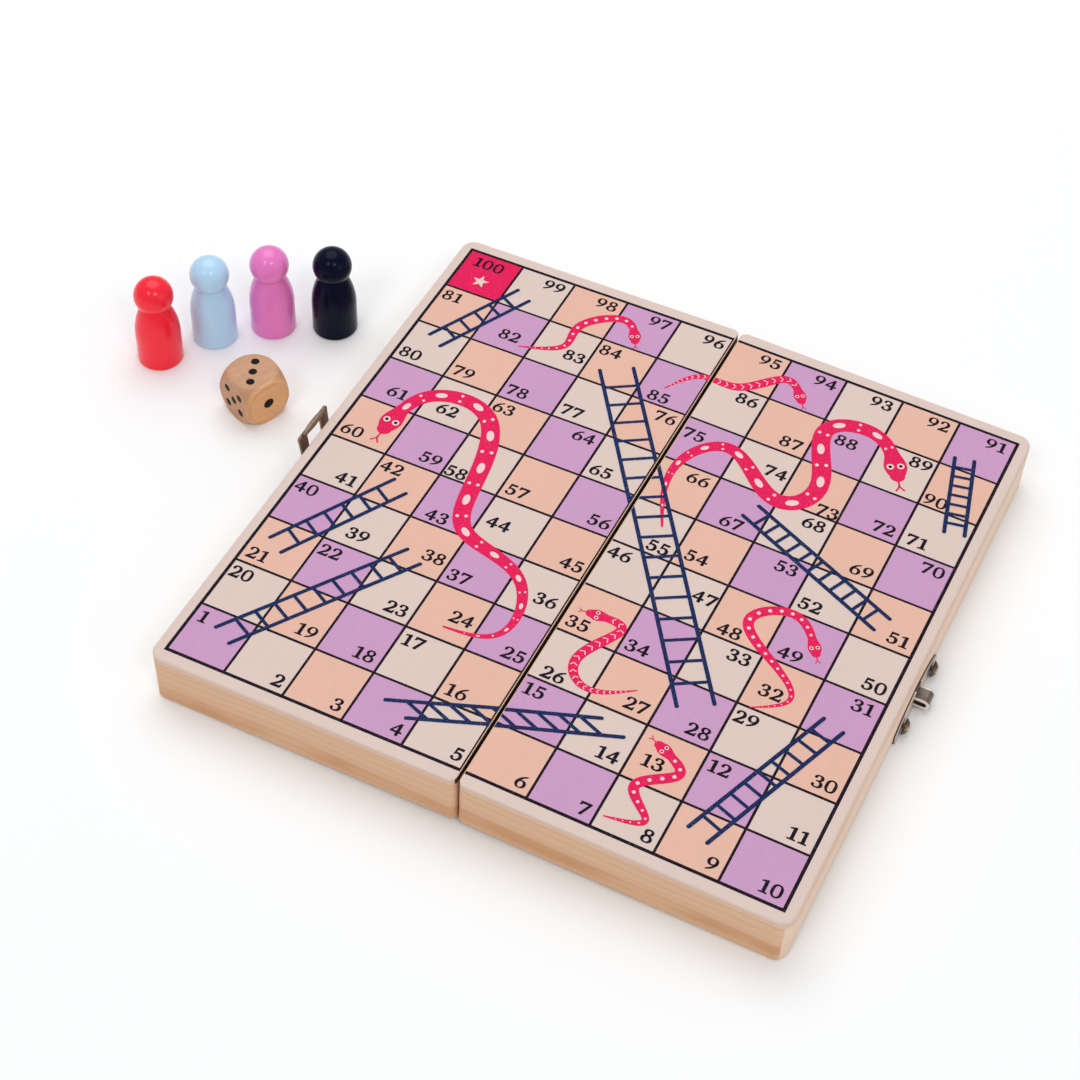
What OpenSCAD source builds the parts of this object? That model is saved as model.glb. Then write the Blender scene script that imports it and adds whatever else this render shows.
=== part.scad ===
// Folding snakes and ladders board: two shallow wooden trays hinged at their rims, which close
// into a flat box, with a printed track on their backs, four pawns and a die.
// The fold axis runs along Y at x = 0. X points to the right, and z = 0 is the table.
// Opened out, the two halves lean a little, because the hinge barrels lift the seam off the table.

/* [Play field] */
// Side of one square of the track
square_side = 20; // [18:0.5:22]
// Width of the printed lines between the squares
line_w = 0.85; // [0.3:0.05:1.2]
// Width of the printed line round the whole track
border_w = 1.1; // [0.4:0.05:1.6]
// Bare wood from the border line's middle to the left and right edges of the board
side_margin = 4; // [3:0.25:8]
// Bare wood from the border line's middle to the front and back edges of the board
end_margin = 4.6; // [3:0.2:8]
// Bare wood between the print and the edge of each half at the seam
seam_margin = 0.3; // [0.1:0.1:1]
// Width of the printed line along the left half's edge at the seam
seam_line_w = 0.5; // [0.3:0.05:0.8]
// Thickness of one printed layer
ink_t = 0.05; // [0.03:0.01:0.1]

/* [Printed ladders and snakes] */
// Width of a ladder's two long rails
ladder_rail_w = 1.3; // [0.8:0.1:2]
// Width of a ladder's rungs
rung_w = 1.1; // [0.6:0.1:1.6]
// Greatest width of the two large snakes
large_snake_w = 6.4; // [4:0.2:8]
// Greatest width of the small snakes
small_snake_w = 3.6; // [2.4:0.2:5]

/* [Wooden halves] */
// Thickness of the plywood play panels
panel_t = 2.5; // [2:0.25:4]
// Height of the pine rails under the panels
rail_h = 17; // [15:0.5:22]
// Thickness of the pine rails
rail_t = 7.5; // [7:0.25:9]
// Radius of the board's four outer corners, seen from above
outer_corner_r = 4.5; // [3:0.5:6]
// Radius of the corners at the seam, seen from above
seam_corner_r = 2.2; // [1:0.2:4]
// Rounding of the panels' top edges at their outer sides
top_edge_r = 0.8; // [0.3:0.1:1.2]
// Rounding of the panels' top edges at the seam
seam_edge_r = 0.25; // [0.1:0.05:0.4]
// Rounding of the rails' outer bottom edges
bottom_edge_r = 1; // [0.4:0.1:1.4]
// Gap between the two halves at the seam when they lie level
seam_gap = 0.4; // [0.3:0.1:1.6]
// Gap left between the two rims when the box is closed
closed_gap = 0.2; // [0.1:0.05:0.5]

/* [Hinges] */
// Diameter of the hinge barrels, which the seam stands on
barrel_d = 3.1; // [2.8:0.1:4]
// Diameter of the hinge pins
hinge_pin_d = 1.6; // [1.2:0.1:1.8]
// Radial play of a pin in its knuckles
pin_play = 0.05; // [0.02:0.01:0.1]
// Gap between neighbouring knuckles, and between a barrel and the wood round it
knuckle_gap = 0.3; // [0.2:0.05:0.5]
// Thickness of a hinge leaf
leaf_t = 0.8; // [0.6:0.1:1.2]
// Width of a hinge leaf, from the fold axis to its far edge
leaf_reach = 7; // [6:0.25:7.5]
// Length of a hinge along the seam
hinge_l = 22; // [18:1:30]
// Distance of each hinge's middle from the middle of the board
hinge_place = 60; // [40:1:75]
// Distance between the two screws of a leaf
leaf_screw_spacing = 13; // [10:0.5:15]

/* [Latch] */
// Length of the two latch plates along the board's side
latch_plate_l = 36; // [34:0.5:40]
// Height of the latch plates at their middle
latch_plate_h = 8; // [7.5:0.25:9]
// Height of the latch plates at their ends
latch_plate_end_h = 3.2; // [2.6:0.2:4.4]
// Thickness of the latch plates
latch_plate_t = 0.8; // [0.6:0.1:1]
// Height of the hasp's pivot above the rim
pivot_h = 7.1; // [6.8:0.1:7.6]
// Diameter of the hasp's barrel
hasp_barrel_d = 2.2; // [2:0.1:2.4]
// Diameter of the hasp's pin
hasp_pin_d = 1.1; // [0.8:0.1:1.2]
// How far the raised hasp leans outwards, in degrees
hasp_tilt = 6; // [4:0.5:10]
// Width of the hasp at its top corners
hasp_w = 18; // [17:0.25:18.5]
// Length of the hasp from its pivot to the top of its rolled lip
hasp_l = 15.9; // [15.6:0.1:17]
// Thickness of the hasp's sheet
hasp_t = 0.7; // [0.6:0.05:0.8]
// Width of the hasp's window
window_w = 8.4; // [7:0.2:9]
// Distance from the pivot to the far edge of the window
window_far = 13.2; // [13:0.1:13.6]
// Width of the finger lip that is rolled at the hasp's end
lip_w = 13.4; // [10:0.2:14]
// Outer diameter of the rolled lip at its middle
lip_d = 2.2; // [2:0.1:2.6]
// How much the lip's radius draws in towards its ends
lip_bulge = 0.5; // [0.2:0.1:0.6]
// Width of the keeper's hood
hood_w = 5.3; // [4:0.1:5.6]
// How far the hood stands out from the board's side
hood_out = 5.5; // [5:0.1:5.7]
// Height of the hood's lower side above the rim
hood_low = 2; // [1.6:0.1:2.2]
// Height of the hood, from its lower side to its upper side
hood_h = 3.5; // [3:0.1:3.5]
// Thickness of the hood's strip
hood_t = 0.8; // [0.6:0.1:1]

/* [Latch screws] */
// Distance of each latch screw from the end of its plate
latch_screw_inset = 5.6; // [5:0.1:5.8]
// Height of the latch screws above the rim
latch_screw_h = 3.2; // [3:0.1:3.6]
// Diameter of the latch screws' heads
latch_head_d = 5.6; // [4.6:0.2:5.8]
// Height of the latch screws' heads
latch_head_h = 1.7; // [1.2:0.1:2]
// How far the latch screws' heads stand off their plates
latch_head_proud = 0.6; // [0:0.1:1]
// Width of the cross recess in the latch screws' heads
latch_recess_t = 1.1; // [0.6:0.1:1.4]
// Depth of the cross recess in the latch screws' heads
latch_recess_depth = 1; // [0.4:0.1:1]
// Diameter of the screws' shanks
shank_d = 1.8; // [1.4:0.1:2]
// Length of the screws' shanks in the wood
shank_l = 5.8; // [4:0.2:6.2]

/* [Pawns] */
// Diameter of a pawn's foot
pawn_foot_d = 15.6; // [13:0.2:16.5]
// Height at which a pawn's shoulders begin to draw in
pawn_shoulder_h = 11.5; // [9:0.5:13]
// Radius of the curve of a pawn's shoulders, seen from the side
pawn_shoulder_r = 26; // [24:0.5:30]
// Diameter of a pawn's head
pawn_head_d = 13.5; // [12:0.25:14.5]
// Height of the middle of a pawn's head
pawn_head_h = 28.3; // [27.5:0.1:29]
// Rounding of a pawn's foot
pawn_foot_r = 0.8; // [0.4:0.1:1.2]

/* [Die] */
// Distance between opposite faces of the die
die_side = 16.8; // [14:0.2:18]
// Diameter of a pip
pip_d = 2.9; // [2.4:0.1:3.2]
// Diameter of the pip that stands alone on its face
lone_pip_d = 3.9; // [3:0.1:4.6]
// Depth of the hollow drilled for a pip
pip_depth = 0.4; // [0.2:0.05:0.6]
// Distance of the outer pips from a face's middle lines
pip_offset = 3.4; // [3.2:0.1:3.8]

/* [Places of the loose pieces] */
// Place of the red pawn to the left of the fold axis
red_left = 180.2; // [160:1:220]
// Place of the red pawn behind the board's middle
red_back = 21; // [10:1:24]
// Place of the light blue pawn to the left of the fold axis
blue_left = 169; // [160:1:190]
// Place of the light blue pawn behind the board's middle
blue_back = 38.5; // [38:0.5:44]
// Place of the pink pawn to the left of the fold axis
pink_left = 153.6; // [150:0.2:158]
// Place of the pink pawn behind the board's middle
pink_back = 52.2; // [48:0.2:56]
// Place of the navy pawn to the left of the fold axis
navy_left = 134.4; // [128:0.2:136]
// Place of the navy pawn behind the board's middle
navy_back = 61.8; // [58:0.2:70]
// Place of the die to the left of the fold axis
die_left = 138.8; // [130:0.2:142]
// Place of the die behind the board's middle
die_back = 15; // [5:0.5:20]
// Turn of the die on the table, in degrees
die_turn = 66; // [0:1:90]

/* [Hidden] */
$fn = 64;
// Facets of the rounded panels, which are hulls
hull_fn = 40;
edge_fn = 24;
rows = 10;
half_columns = 5;
columns = half_columns * 2;
overrun = 1;
// Play between a leaf and its rebate, and between a screw and its hole
fit_play = 0.1;
screw_play = 0.05;

// Halves: x is measured outwards from the fold axis, z upwards from the rim
half_reach = half_columns * square_side + side_margin;
half_start = seam_gap / 2;
board_depth = rows * square_side + end_margin * 2;
play_h = rail_h + panel_t;
axis_drop = closed_gap / 2;
fold_h = barrel_d / 2;
lean = asin((fold_h + axis_drop) / (half_reach - bottom_edge_r));
LEFT = -1;
RIGHT = 1;

// Print: ladder feet and tops and the snakes' lines are counted in squares from the front left
// corner. A ladder is its first rail's foot and top, its second rail's foot and top, and rungs.
ladder_shares = [
    [[0.34, 7.78], [1.18, 9.43], [0.63, 7.61], [1.47, 9.27], 5],
    [[7.24, 2.51], [3.27, 8.30], [7.72, 2.81], [3.75, 8.60], 16],
    [[0.26, 2.62], [1.40, 4.58], [0.57, 2.43], [1.71, 4.39], 6],
    [[0.45, 0.69], [2.29, 3.37], [0.79, 0.51], [2.61, 3.19], 9],
    [[3.40, 0.63], [6.35, 1.79], [3.83, 0.47], [6.78, 1.63], 9],
    [[8.26, 0.65], [9.26, 3.33], [8.61, 0.52], [9.61, 3.22], 9],
    [[9.45, 5.56], [6.78, 6.73], [9.31, 5.25], [6.63, 6.43], 11],
    [[9.58, 7.63], [9.19, 9.22], [9.90, 7.70], [9.50, 9.29], 7],
];
// Each snake's points run from its nose to the tip of its tail, and its body curves between them
large_snake_shares = [
    [[0.72, 5.5], [0.8, 6.65], [2.3, 6.8], [2.6, 5.0], [2.7, 3.9], [4.3, 3.9], [4.6, 2.3], [3.5, 2.25]],
    [[8.5, 8.4], [8, 9.3], [6.7, 8.9], [7.8, 7.5], [6.9, 6.6], [5.9, 8.1], [5, 6.9], [5.6, 5.6]],
];
small_snake_shares = [
    [[3.5, 9.2], [3.2, 9.8], [2.3, 9.1], [2.7, 8.5], [1.8, 8.2]],
    [[6.5, 9.2], [6.1, 9.8], [5.5, 8.8], [4.8, 9.1], [4.4, 8.4]],
    [[8.7, 4.4], [8.2, 5.2], [7.2, 4.5], [8.3, 3.9], [8.9, 3.4], [8.2, 3]],
    [[5.35, 3.5], [6.2, 3.6], [5.3, 2.6], [5.9, 2], [6.6, 2.5]],
    [[7.3, 1.75], [8.1, 1.4], [6.9, 0.95], [8, 0.4], [7.1, 0.25]],
];
// Half widths as shares of the greatest width: along the head, measured in widths from the nose,
// and along the body, measured in shares of the snake's length
head_width_shares =
    [[0, 0.4], [0.25, 0.52], [0.5, 0.6], [0.75, 0.6], [1.05, 0.52], [1.4, 0.41], [1.8, 0.36]];
body_width_shares = [[0, 0.33], [0.15, 0.42], [0.35, 0.5], [0.55, 0.45], [0.8, 0.26], [1, 0.05]];
head_end_share = 1.8;
curve_steps = 12;

// Hinges
barrel_clear_r = fold_h + knuckle_gap;
knuckle_count = 3;
knuckle_l = (hinge_l - knuckle_gap * (knuckle_count - 1)) / knuckle_count;
pin_head_rim = 0.4;
pin_head_t = 0.4;
hinge_notch_l = hinge_l + (pin_head_t + knuckle_gap) * 2;
leaf_head_d = 3.6;
leaf_screw_x = (barrel_clear_r + leaf_reach) / 2;
recess_t = 0.6;
recess_depth = 0.5;
recess_share = 0.62;

// Latch
latch_screw_place = latch_plate_l / 2 - latch_screw_inset;
plate_gap = 0.25;
plate_lift = 0.3;
pivot_out = latch_plate_t + plate_gap + hasp_barrel_d / 2;
plate_rise = latch_plate_h - latch_plate_end_h;
plate_arch_r = (pow(latch_plate_l / 2, 2) + pow(plate_rise, 2)) / (2 * plate_rise);
plate_arch_fn = 160;
hasp_knuckle_w = 8;
lug_w = 3.2;
hasp_pin_l = hasp_knuckle_w + (lug_w + knuckle_gap) * 2;
hasp_step = 0.5;
hasp_foot = hasp_barrel_d / 2 + hasp_step;
window_near = 4.6;
window_r = 1;
hasp_waist = 0.4;
hasp_corner_r = 1.3;
lip_h = hasp_l - lip_d / 2;
lip_arch_r = (pow(lip_w / 2, 2) + pow(lip_bulge, 2)) / (2 * lip_bulge);
hasp_side_l = lip_h - hasp_foot;
hasp_side_r = (pow(hasp_side_l / 2, 2) + pow(hasp_waist, 2)) / (2 * hasp_waist);
hood_r = 1.6;

// Turns a half of the board, or what is on it, into its place on the table
module on_half(side) {
    translate([0, 0, fold_h]) rotate([0, side * lean, 0]) translate([0, 0, axis_drop]) children();
}

// The same for shapes whose x is measured outwards from the fold axis
module outward(side) {
    on_half(side) if (side == LEFT) mirror([1, 0, 0]) children(); else children();
}

// What a rounded edge or corner leaves out of a square one, with its corner at the origin
module corner_bite(r) {
    difference() {
        translate([-overrun, -overrun]) square(r + overrun);
        translate([r, r]) circle(r);
    }
}

module half_outline() {
    difference() {
        translate([half_start, -board_depth / 2]) square([half_reach - half_start, board_depth]);
        for (back = [false, true]) mirror([0, back ? 1 : 0]) {
            translate([half_start, -board_depth / 2]) corner_bite(seam_corner_r);
            translate([half_reach, -board_depth / 2]) mirror([1, 0]) corner_bite(outer_corner_r);
        }
    }
}

// Post with the panel's edge rounding, one at each corner of a panel
module panel_post(r, edge_r) {
    cylinder(r = r, h = panel_t - edge_r, $fn = hull_fn);
    translate([0, 0, panel_t - edge_r]) rotate_extrude($fn = hull_fn) intersection() {
        translate([r - edge_r, 0]) circle(edge_r, $fn = edge_fn);
        square(r);
    }
}

module panel(side) {
    color("#e4d2c3") outward(side) translate([0, 0, rail_h]) hull() for (y = [-1, 1]) {
        translate([half_start + seam_corner_r, y * (board_depth / 2 - seam_corner_r), 0])
            panel_post(seam_corner_r, seam_edge_r);
        translate([half_reach - outer_corner_r, y * (board_depth / 2 - outer_corner_r), 0])
            panel_post(outer_corner_r, top_edge_r);
    }
}

// Rounds the bottom edges of the front and back rails and of the outer rail
module bottom_bites() {
    for (back = [false, true]) mirror([0, back ? 1 : 0, 0])
        translate([0, -board_depth / 2, 0]) rotate([90, 0, 90])
            linear_extrude(half_reach + overrun) corner_bite(bottom_edge_r);
    translate([half_reach, board_depth / 2 + overrun, 0]) rotate([90, 0, 0])
        linear_extrude(board_depth + overrun * 2) mirror([1, 0]) corner_bite(bottom_edge_r);
}

// A rail is the part of a half's outline between two corners of a box
module rail(low, high) {
    difference() {
        linear_extrude(rail_h) intersection() {
            half_outline();
            translate(low) square(high - low);
        }
        bottom_bites();
    }
}

module end_rail(side, end) {
    edge = board_depth / 2;
    low = end < 0 ? -edge : edge - rail_t;
    color("#d9b496") outward(side) rail([half_start, low], [half_reach, low + rail_t]);
}

module outer_rail(side) {
    y = board_depth / 2 - rail_t;
    color("#d9b496") outward(side) difference() {
        rail([half_reach - rail_t, -y], [half_reach, y]);
        latch_screw_places() pilot_hole();
    }
}

module inner_rail(side) {
    y = board_depth / 2 - rail_t;
    color("#d9b496") outward(side) difference() {
        rail([half_start, -y], [half_start + rail_t, y]);
        hinge_places() {
            translate([0, -hinge_notch_l / 2, -axis_drop]) rotate([-90, 0, 0])
                cylinder(r = barrel_clear_r, h = hinge_notch_l);
            translate([0, -hinge_l / 2 - fit_play, -overrun])
                cube([leaf_reach + fit_play, hinge_l + fit_play * 2, leaf_t + overrun]);
            leaf_screw_places() translate([0, 0, leaf_t]) cylinder(d = shank_d + screw_play * 2, h = shank_l);
        }
    }
}

module hinge_places() {
    for (y = [-hinge_place, hinge_place]) translate([0, y, 0]) children();
}

module leaf_screw_places() {
    for (y = [-1, 1]) translate([leaf_screw_x, y * leaf_screw_spacing / 2, 0]) children();
}

// Knuckles are counted from the front; the left leaf holds the first and last, the right the middle
module hinge_leaves(side) {
    color("#b08d57") outward(side) hinge_places() difference() {
        union() {
            translate([barrel_clear_r, -hinge_l / 2, 0]) cube([leaf_reach - barrel_clear_r, hinge_l, leaf_t]);
            for (k = [0 : knuckle_count - 1]) if ((k % 2 == 0) == (side == LEFT))
                translate([0, -hinge_l / 2 + k * (knuckle_l + knuckle_gap), 0]) {
                    translate([0, 0, -axis_drop]) rotate([-90, 0, 0]) cylinder(r = fold_h, h = knuckle_l);
                    cube([barrel_clear_r + overrun, knuckle_l, leaf_t]);
                }
        }
        translate([0, -hinge_l, -axis_drop]) rotate([-90, 0, 0])
            cylinder(d = hinge_pin_d + pin_play * 2, h = hinge_l * 2);
        leaf_screw_places() leaf_screw_cone(screw_play);
    }
}

module leaf_screw_cone(play) {
    cylinder(d1 = leaf_head_d + play * 2, d2 = shank_d + play * 2, h = leaf_t);
}

module cross_recess(l, t, depth) {
    for (a = [0, 90]) rotate(a) cube([l, t, depth * 2], center = true);
}

module hinge_screws(side) {
    color("#c9a66b") outward(side) hinge_places() leaf_screw_places() difference() {
        union() {
            leaf_screw_cone(0);
            translate([0, 0, leaf_t]) cylinder(d = shank_d, h = shank_l);
        }
        cross_recess(leaf_head_d * recess_share, recess_t, recess_depth);
    }
}

module hinge_pins() {
    color("#8f7445") translate([0, 0, fold_h]) hinge_places() rotate([-90, 0, 0])
        headed_pin(hinge_pin_d, hinge_l);
}

// Pin with a flat head riveted on at both ends
module headed_pin(d, l) {
    cylinder(d = d, h = l, center = true);
    for (end = [false, true]) mirror([0, 0, end ? 1 : 0])
        translate([0, 0, l / 2]) cylinder(d = d + pin_head_rim * 2, h = pin_head_t);
}

// Board coordinates of a point counted in squares from the front left corner of the track
function board_xy(p) = [(p[0] - half_columns) * square_side, (p[1] - rows / 2) * square_side];

// Everything printed on one half ends short of the seam
module print_area(side) {
    start = half_start + seam_margin;
    reach = half_reach - side_margin + border_w / 2;
    low = -(rows * square_side + border_w) / 2;
    translate([side == LEFT ? -reach : start, low]) square([reach - start, -low * 2]);
}

module ink(side, layer) {
    on_half(side) translate([0, 0, play_h + layer * ink_t]) linear_extrude(ink_t) intersection() {
        print_area(side);
        children();
    }
}

module bar(a, b, w) {
    run = b - a;
    translate(a) rotate(atan2(run[1], run[0])) {
        translate([0, -w / 2]) square([norm(run), w]);
        circle(d = w);
        translate([norm(run), 0]) circle(d = w);
    }
}

module track_lines() {
    reach = half_columns * square_side;
    depth = rows * square_side;
    for (c = [0 : columns]) if (c != half_columns) {
        w = c % columns == 0 ? border_w : line_w;
        translate([c * square_side - reach - w / 2, -(depth + border_w) / 2]) square([w, depth + border_w]);
    }
    // The middle line lies on the left half alone, along its edge
    translate([-half_start - seam_margin - seam_line_w, -(depth + border_w) / 2])
        square([seam_line_w, depth + border_w]);
    for (r = [0 : rows]) {
        w = r % rows == 0 ? border_w : line_w;
        translate([-reach, r * square_side - (depth + w) / 2]) square([reach * 2, w]);
    }
}

module track_cells(side, shade) {
    first = side == LEFT ? 0 : half_columns;
    difference() {
        for (c = [first : first + half_columns - 1], r = [0 : rows - 1]) if (shade_of(c, r) == shade)
            translate(board_xy([c, r])) square(square_side);
        track_lines();
    }
}

// Three shades follow each other along the diagonals; the last square stands out, and one is bare
shades = ["lilac", "bare", "peach"];
finish_cell = [0, rows - 1];
odd_bare_cell = [5, 4];
function shade_of(c, r) =
    [c, r] == finish_cell ? "finish" : [c, r] == odd_bare_cell ? "bare" : shades[(c + r) % len(shades)];

module lilac_squares(side) {
    color("#cda0cd") ink(side, 0) track_cells(side, "lilac");
}

module peach_squares(side) {
    color("#ebbea5") ink(side, 0) track_cells(side, "peach");
}

module finish_square() {
    color("#eb2364") ink(LEFT, 0) track_cells(LEFT, "finish");
}

module grid_lines(side) {
    color("#190a1e") ink(side, 0) track_lines();
}

module ladders(side) {
    color("#192d5f") ink(side, 2) for (l = ladder_shares) {
        foot_a = board_xy(l[0]);
        top_a = board_xy(l[1]);
        foot_b = board_xy(l[2]);
        top_b = board_xy(l[3]);
        bar(foot_a, top_a, ladder_rail_w);
        bar(foot_b, top_b, ladder_rail_w);
        for (k = [1 : l[4]]) {
            t = k / (l[4] + 1);
            bar(foot_a + (top_a - foot_a) * t, foot_b + (top_b - foot_b) * t, rung_w);
        }
    }
}

// Smooth line near points, a uniform cubic B-spline: each piece is set by its four nearest points
function curve_piece(a, b, c, d, t) =
    (a * pow(1 - t, 3) + b * (4 - 6 * t * t + 3 * t * t * t)
        + c * (1 + 3 * t + 3 * t * t - 3 * t * t * t) + d * t * t * t) / 6;
function curve(p) = [for (i = [0 : len(p) - 2], k = [0 : curve_steps - 1])
    curve_piece(i > 0 ? p[i - 1] : p[0] * 2 - p[1], p[i], p[i + 1],
        i + 2 < len(p) ? p[i + 2] : p[i + 1] * 2 - p[i], k / curve_steps), p[len(p) - 1]];
function run_to(p, k) = k == 0 ? 0 : run_to(p, k - 1) + norm(p[k] - p[k - 1]);
function side_of(p, k) =
    let (v = p[min(k + 1, len(p) - 1)] - p[max(k - 1, 0)]) [-v[1], v[0]] / norm(v);
function half_width(s, whole, w) = w * (s < w * head_end_share
    ? lookup(s / w, head_width_shares) : lookup(s / whole, body_width_shares));

module snake(shares, w) {
    line = curve([for (p = shares) board_xy(p)]);
    last = len(line) - 1;
    whole = run_to(line, last);
    half = [for (k = [0 : last]) half_width(run_to(line, k), whole, w)];
    polygon(concat(
        [for (k = [0 : last]) line[k] + side_of(line, k) * half[k]],
        [for (k = [last : -1 : 0]) line[k] - side_of(line, k) * half[k]]));
    translate(line[0]) circle(half[0]);
}

module snakes(side) {
    color("#e6205f") ink(side, 1) {
        for (s = large_snake_shares) snake(s, large_snake_w);
        for (s = small_snake_shares) snake(s, small_snake_w);
    }
}

// Latch: places on the outer side of a half, with the side's face as the plane of z
module on_side() {
    translate([half_reach, 0, 0]) rotate([90, 0, 90]) children();
}

module latch_screw_places() {
    on_side() for (x = [-1, 1]) translate([x * latch_screw_place, latch_screw_h, 0]) children();
}

module pilot_hole() {
    translate([0, 0, -shank_l]) cylinder(d = shank_d + screw_play * 2, h = shank_l + overrun);
}

// Flat plate with a straight lower edge at the rim, short upright ends and an arched upper edge
module latch_plate() {
    on_side() difference() {
        linear_extrude(latch_plate_t) intersection() {
            translate([0, plate_lift + latch_plate_h - plate_arch_r])
                circle(plate_arch_r, $fn = plate_arch_fn);
            translate([-latch_plate_l / 2, plate_lift]) square([latch_plate_l, latch_plate_h]);
        }
        for (x = [-1, 1]) translate([x * latch_screw_place, latch_screw_h, -overrun])
            cylinder(d = shank_d + fit_play * 2, h = latch_plate_t + overrun * 2);
    }
}

module latch_screws(side) {
    head_r = (pow(latch_head_d / 2, 2) + pow(latch_head_h, 2)) / (2 * latch_head_h);
    foot = latch_plate_t + latch_head_proud;
    color("#b9a47c") outward(side) latch_screw_places() difference() {
        union() {
            translate([0, 0, foot]) intersection() {
                translate([0, 0, latch_head_h - head_r]) sphere(head_r);
                cylinder(d = latch_head_d, h = latch_head_h);
            }
            translate([0, 0, -shank_l]) cylinder(d = shank_d, h = shank_l + foot + latch_head_h / 2);
        }
        translate([0, 0, foot + latch_head_h])
            cross_recess(latch_head_d, latch_recess_t, latch_recess_depth);
    }
}

// The pivot's line, along the side of the board
module on_pivot() {
    translate([half_reach + pivot_out, 0, pivot_h]) rotate([90, 0, 0]) children();
}

module hasp_plate() {
    color("#78603f") outward(LEFT) difference() {
        union() {
            latch_plate();
            for (y = [-1, 1]) translate([0, y * (hasp_knuckle_w / 2 + knuckle_gap + lug_w / 2), 0]) {
                on_pivot() cylinder(d = hasp_barrel_d, h = lug_w, center = true);
                translate([half_reach, -lug_w / 2, pivot_h - hasp_barrel_d / 2])
                    cube([pivot_out, lug_w, hasp_barrel_d]);
            }
        }
        on_pivot() cylinder(d = hasp_pin_d + pin_play * 2, h = latch_plate_l, center = true);
    }
}

module hasp_pin() {
    color("#6b5537") outward(LEFT) on_pivot() headed_pin(hasp_pin_d, hasp_pin_l);
}

// Outline of the hasp's sheet, y counted from the pivot: waisted sides, rounded corners, a window
module hasp_outline() {
    difference() {
        union() {
            translate([-hasp_w / 2, hasp_foot]) square([hasp_w, hasp_side_l]);
            translate([-hasp_knuckle_w / 2, 0]) square([hasp_knuckle_w, hasp_foot + overrun]);
        }
        for (right = [false, true]) mirror([right ? 1 : 0, 0]) {
            translate([-hasp_w / 2 + hasp_waist - hasp_side_r, hasp_foot + hasp_side_l / 2])
                circle(hasp_side_r, $fn = plate_arch_fn);
            translate([-hasp_w / 2, lip_h]) mirror([0, 1]) corner_bite(hasp_corner_r);
        }
        window_outline();
    }
}

module window_outline() {
    translate([-window_w / 2, window_near]) difference() {
        square([window_w, window_far - window_near]);
        for (far = [false, true], right = [false, true])
            translate([right ? window_w : 0, far ? window_far - window_near : 0])
                mirror([right ? 1 : 0, 0]) mirror([0, far ? 1 : 0]) corner_bite(window_r);
    }
}

// The sheet touches the barrel's side next to the board while the hasp is raised
module hasp() {
    color("#7a6246") outward(LEFT) translate([half_reach + pivot_out, 0, pivot_h])
        rotate([0, hasp_tilt, 0]) difference() {
            union() {
                translate([-hasp_barrel_d / 2, 0, 0]) rotate([90, 0, 90])
                    linear_extrude(hasp_t) hasp_outline();
                rotate([90, 0, 0]) cylinder(d = hasp_barrel_d, h = hasp_knuckle_w, center = true);
                translate([hasp_t - (hasp_barrel_d + lip_d) / 2, 0, lip_h]) hasp_lip();
            }
            rotate([90, 0, 0]) cylinder(d = hasp_pin_d + pin_play * 2, h = latch_plate_l, center = true);
        }
}

// The lip rolls over from the sheet towards the board: a barrel-shaped tube, open next to the sheet
module hasp_lip() {
    rotate([90, 0, 0]) difference() {
        rotate_extrude() lip_profile(0);
        rotate_extrude() lip_profile(hasp_t);
        translate([0, -lip_d, -lip_w]) cube([lip_d, lip_d, lip_w * 2]);
    }
}

// Half outline of the lip along its axis, or of the hollow in it
module lip_profile(inset) {
    intersection() {
        translate([lip_d / 2 - lip_arch_r, 0]) circle(lip_arch_r - inset, $fn = plate_arch_fn);
        translate([0, -lip_w / 2]) square([lip_d, lip_w]);
    }
}

module keeper() {
    color("#a9a49c") outward(RIGHT) {
        latch_plate();
        translate([half_reach, hood_w / 2, 0]) rotate([90, 0, 0]) linear_extrude(hood_w) hood_profile();
    }
}

// Side view of the hood: a strip bent out from the plate and back to it, with rounded bends
module hood_profile() {
    difference() {
        hood_loop(0, hood_r);
        hood_loop(hood_t, hood_r - hood_t);
    }
}

module hood_loop(inset, r) {
    high = hood_h - inset * 2;
    translate([latch_plate_t / 2, hood_low + inset]) difference() {
        square([hood_out - latch_plate_t / 2 - inset, high]);
        for (up = [false, true]) translate([hood_out - latch_plate_t / 2 - inset, up ? high : 0])
            mirror([1, 0]) mirror([0, up ? 1 : 0]) corner_bite(r);
    }
}

// Side view of a pawn's body: a foot with a small rounding, straight sides and curved shoulders
module pawn_profile() {
    r = pawn_foot_d / 2;
    intersection() {
        square([r, pawn_head_h]);
        union() {
            translate([0, pawn_foot_r]) square([r, pawn_shoulder_h - pawn_foot_r]);
            square([r - pawn_foot_r, pawn_foot_r * 2]);
            translate([r - pawn_foot_r, pawn_foot_r]) circle(pawn_foot_r);
            difference() {
                translate([r - pawn_shoulder_r, pawn_shoulder_h])
                    circle(pawn_shoulder_r, $fn = plate_arch_fn);
                translate([0, -pawn_shoulder_r * 2]) square([r, pawn_shoulder_r * 2 + pawn_shoulder_h]);
            }
        }
    }
}

module pawn(left, back) {
    translate([-left, back, 0]) {
        rotate_extrude() pawn_profile();
        translate([0, 0, pawn_head_h]) sphere(d = pawn_head_d);
    }
}

module pawn_red() {
    color("#eb2d41") pawn(red_left, red_back);
}

module pawn_blue() {
    color("#a5c3e1") pawn(blue_left, blue_back);
}

module pawn_pink() {
    color("#d269af") pawn(pink_left, pink_back);
}

module pawn_navy() {
    color("#0a0f2d") pawn(navy_left, navy_back);
}

// Corner rounding of the die: a ball that leaves flat discs on the faces
die_ball_share = 1.4;
// Paint leaves this share of a pip's hollow open
pip_open_share = 0.3;
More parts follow.
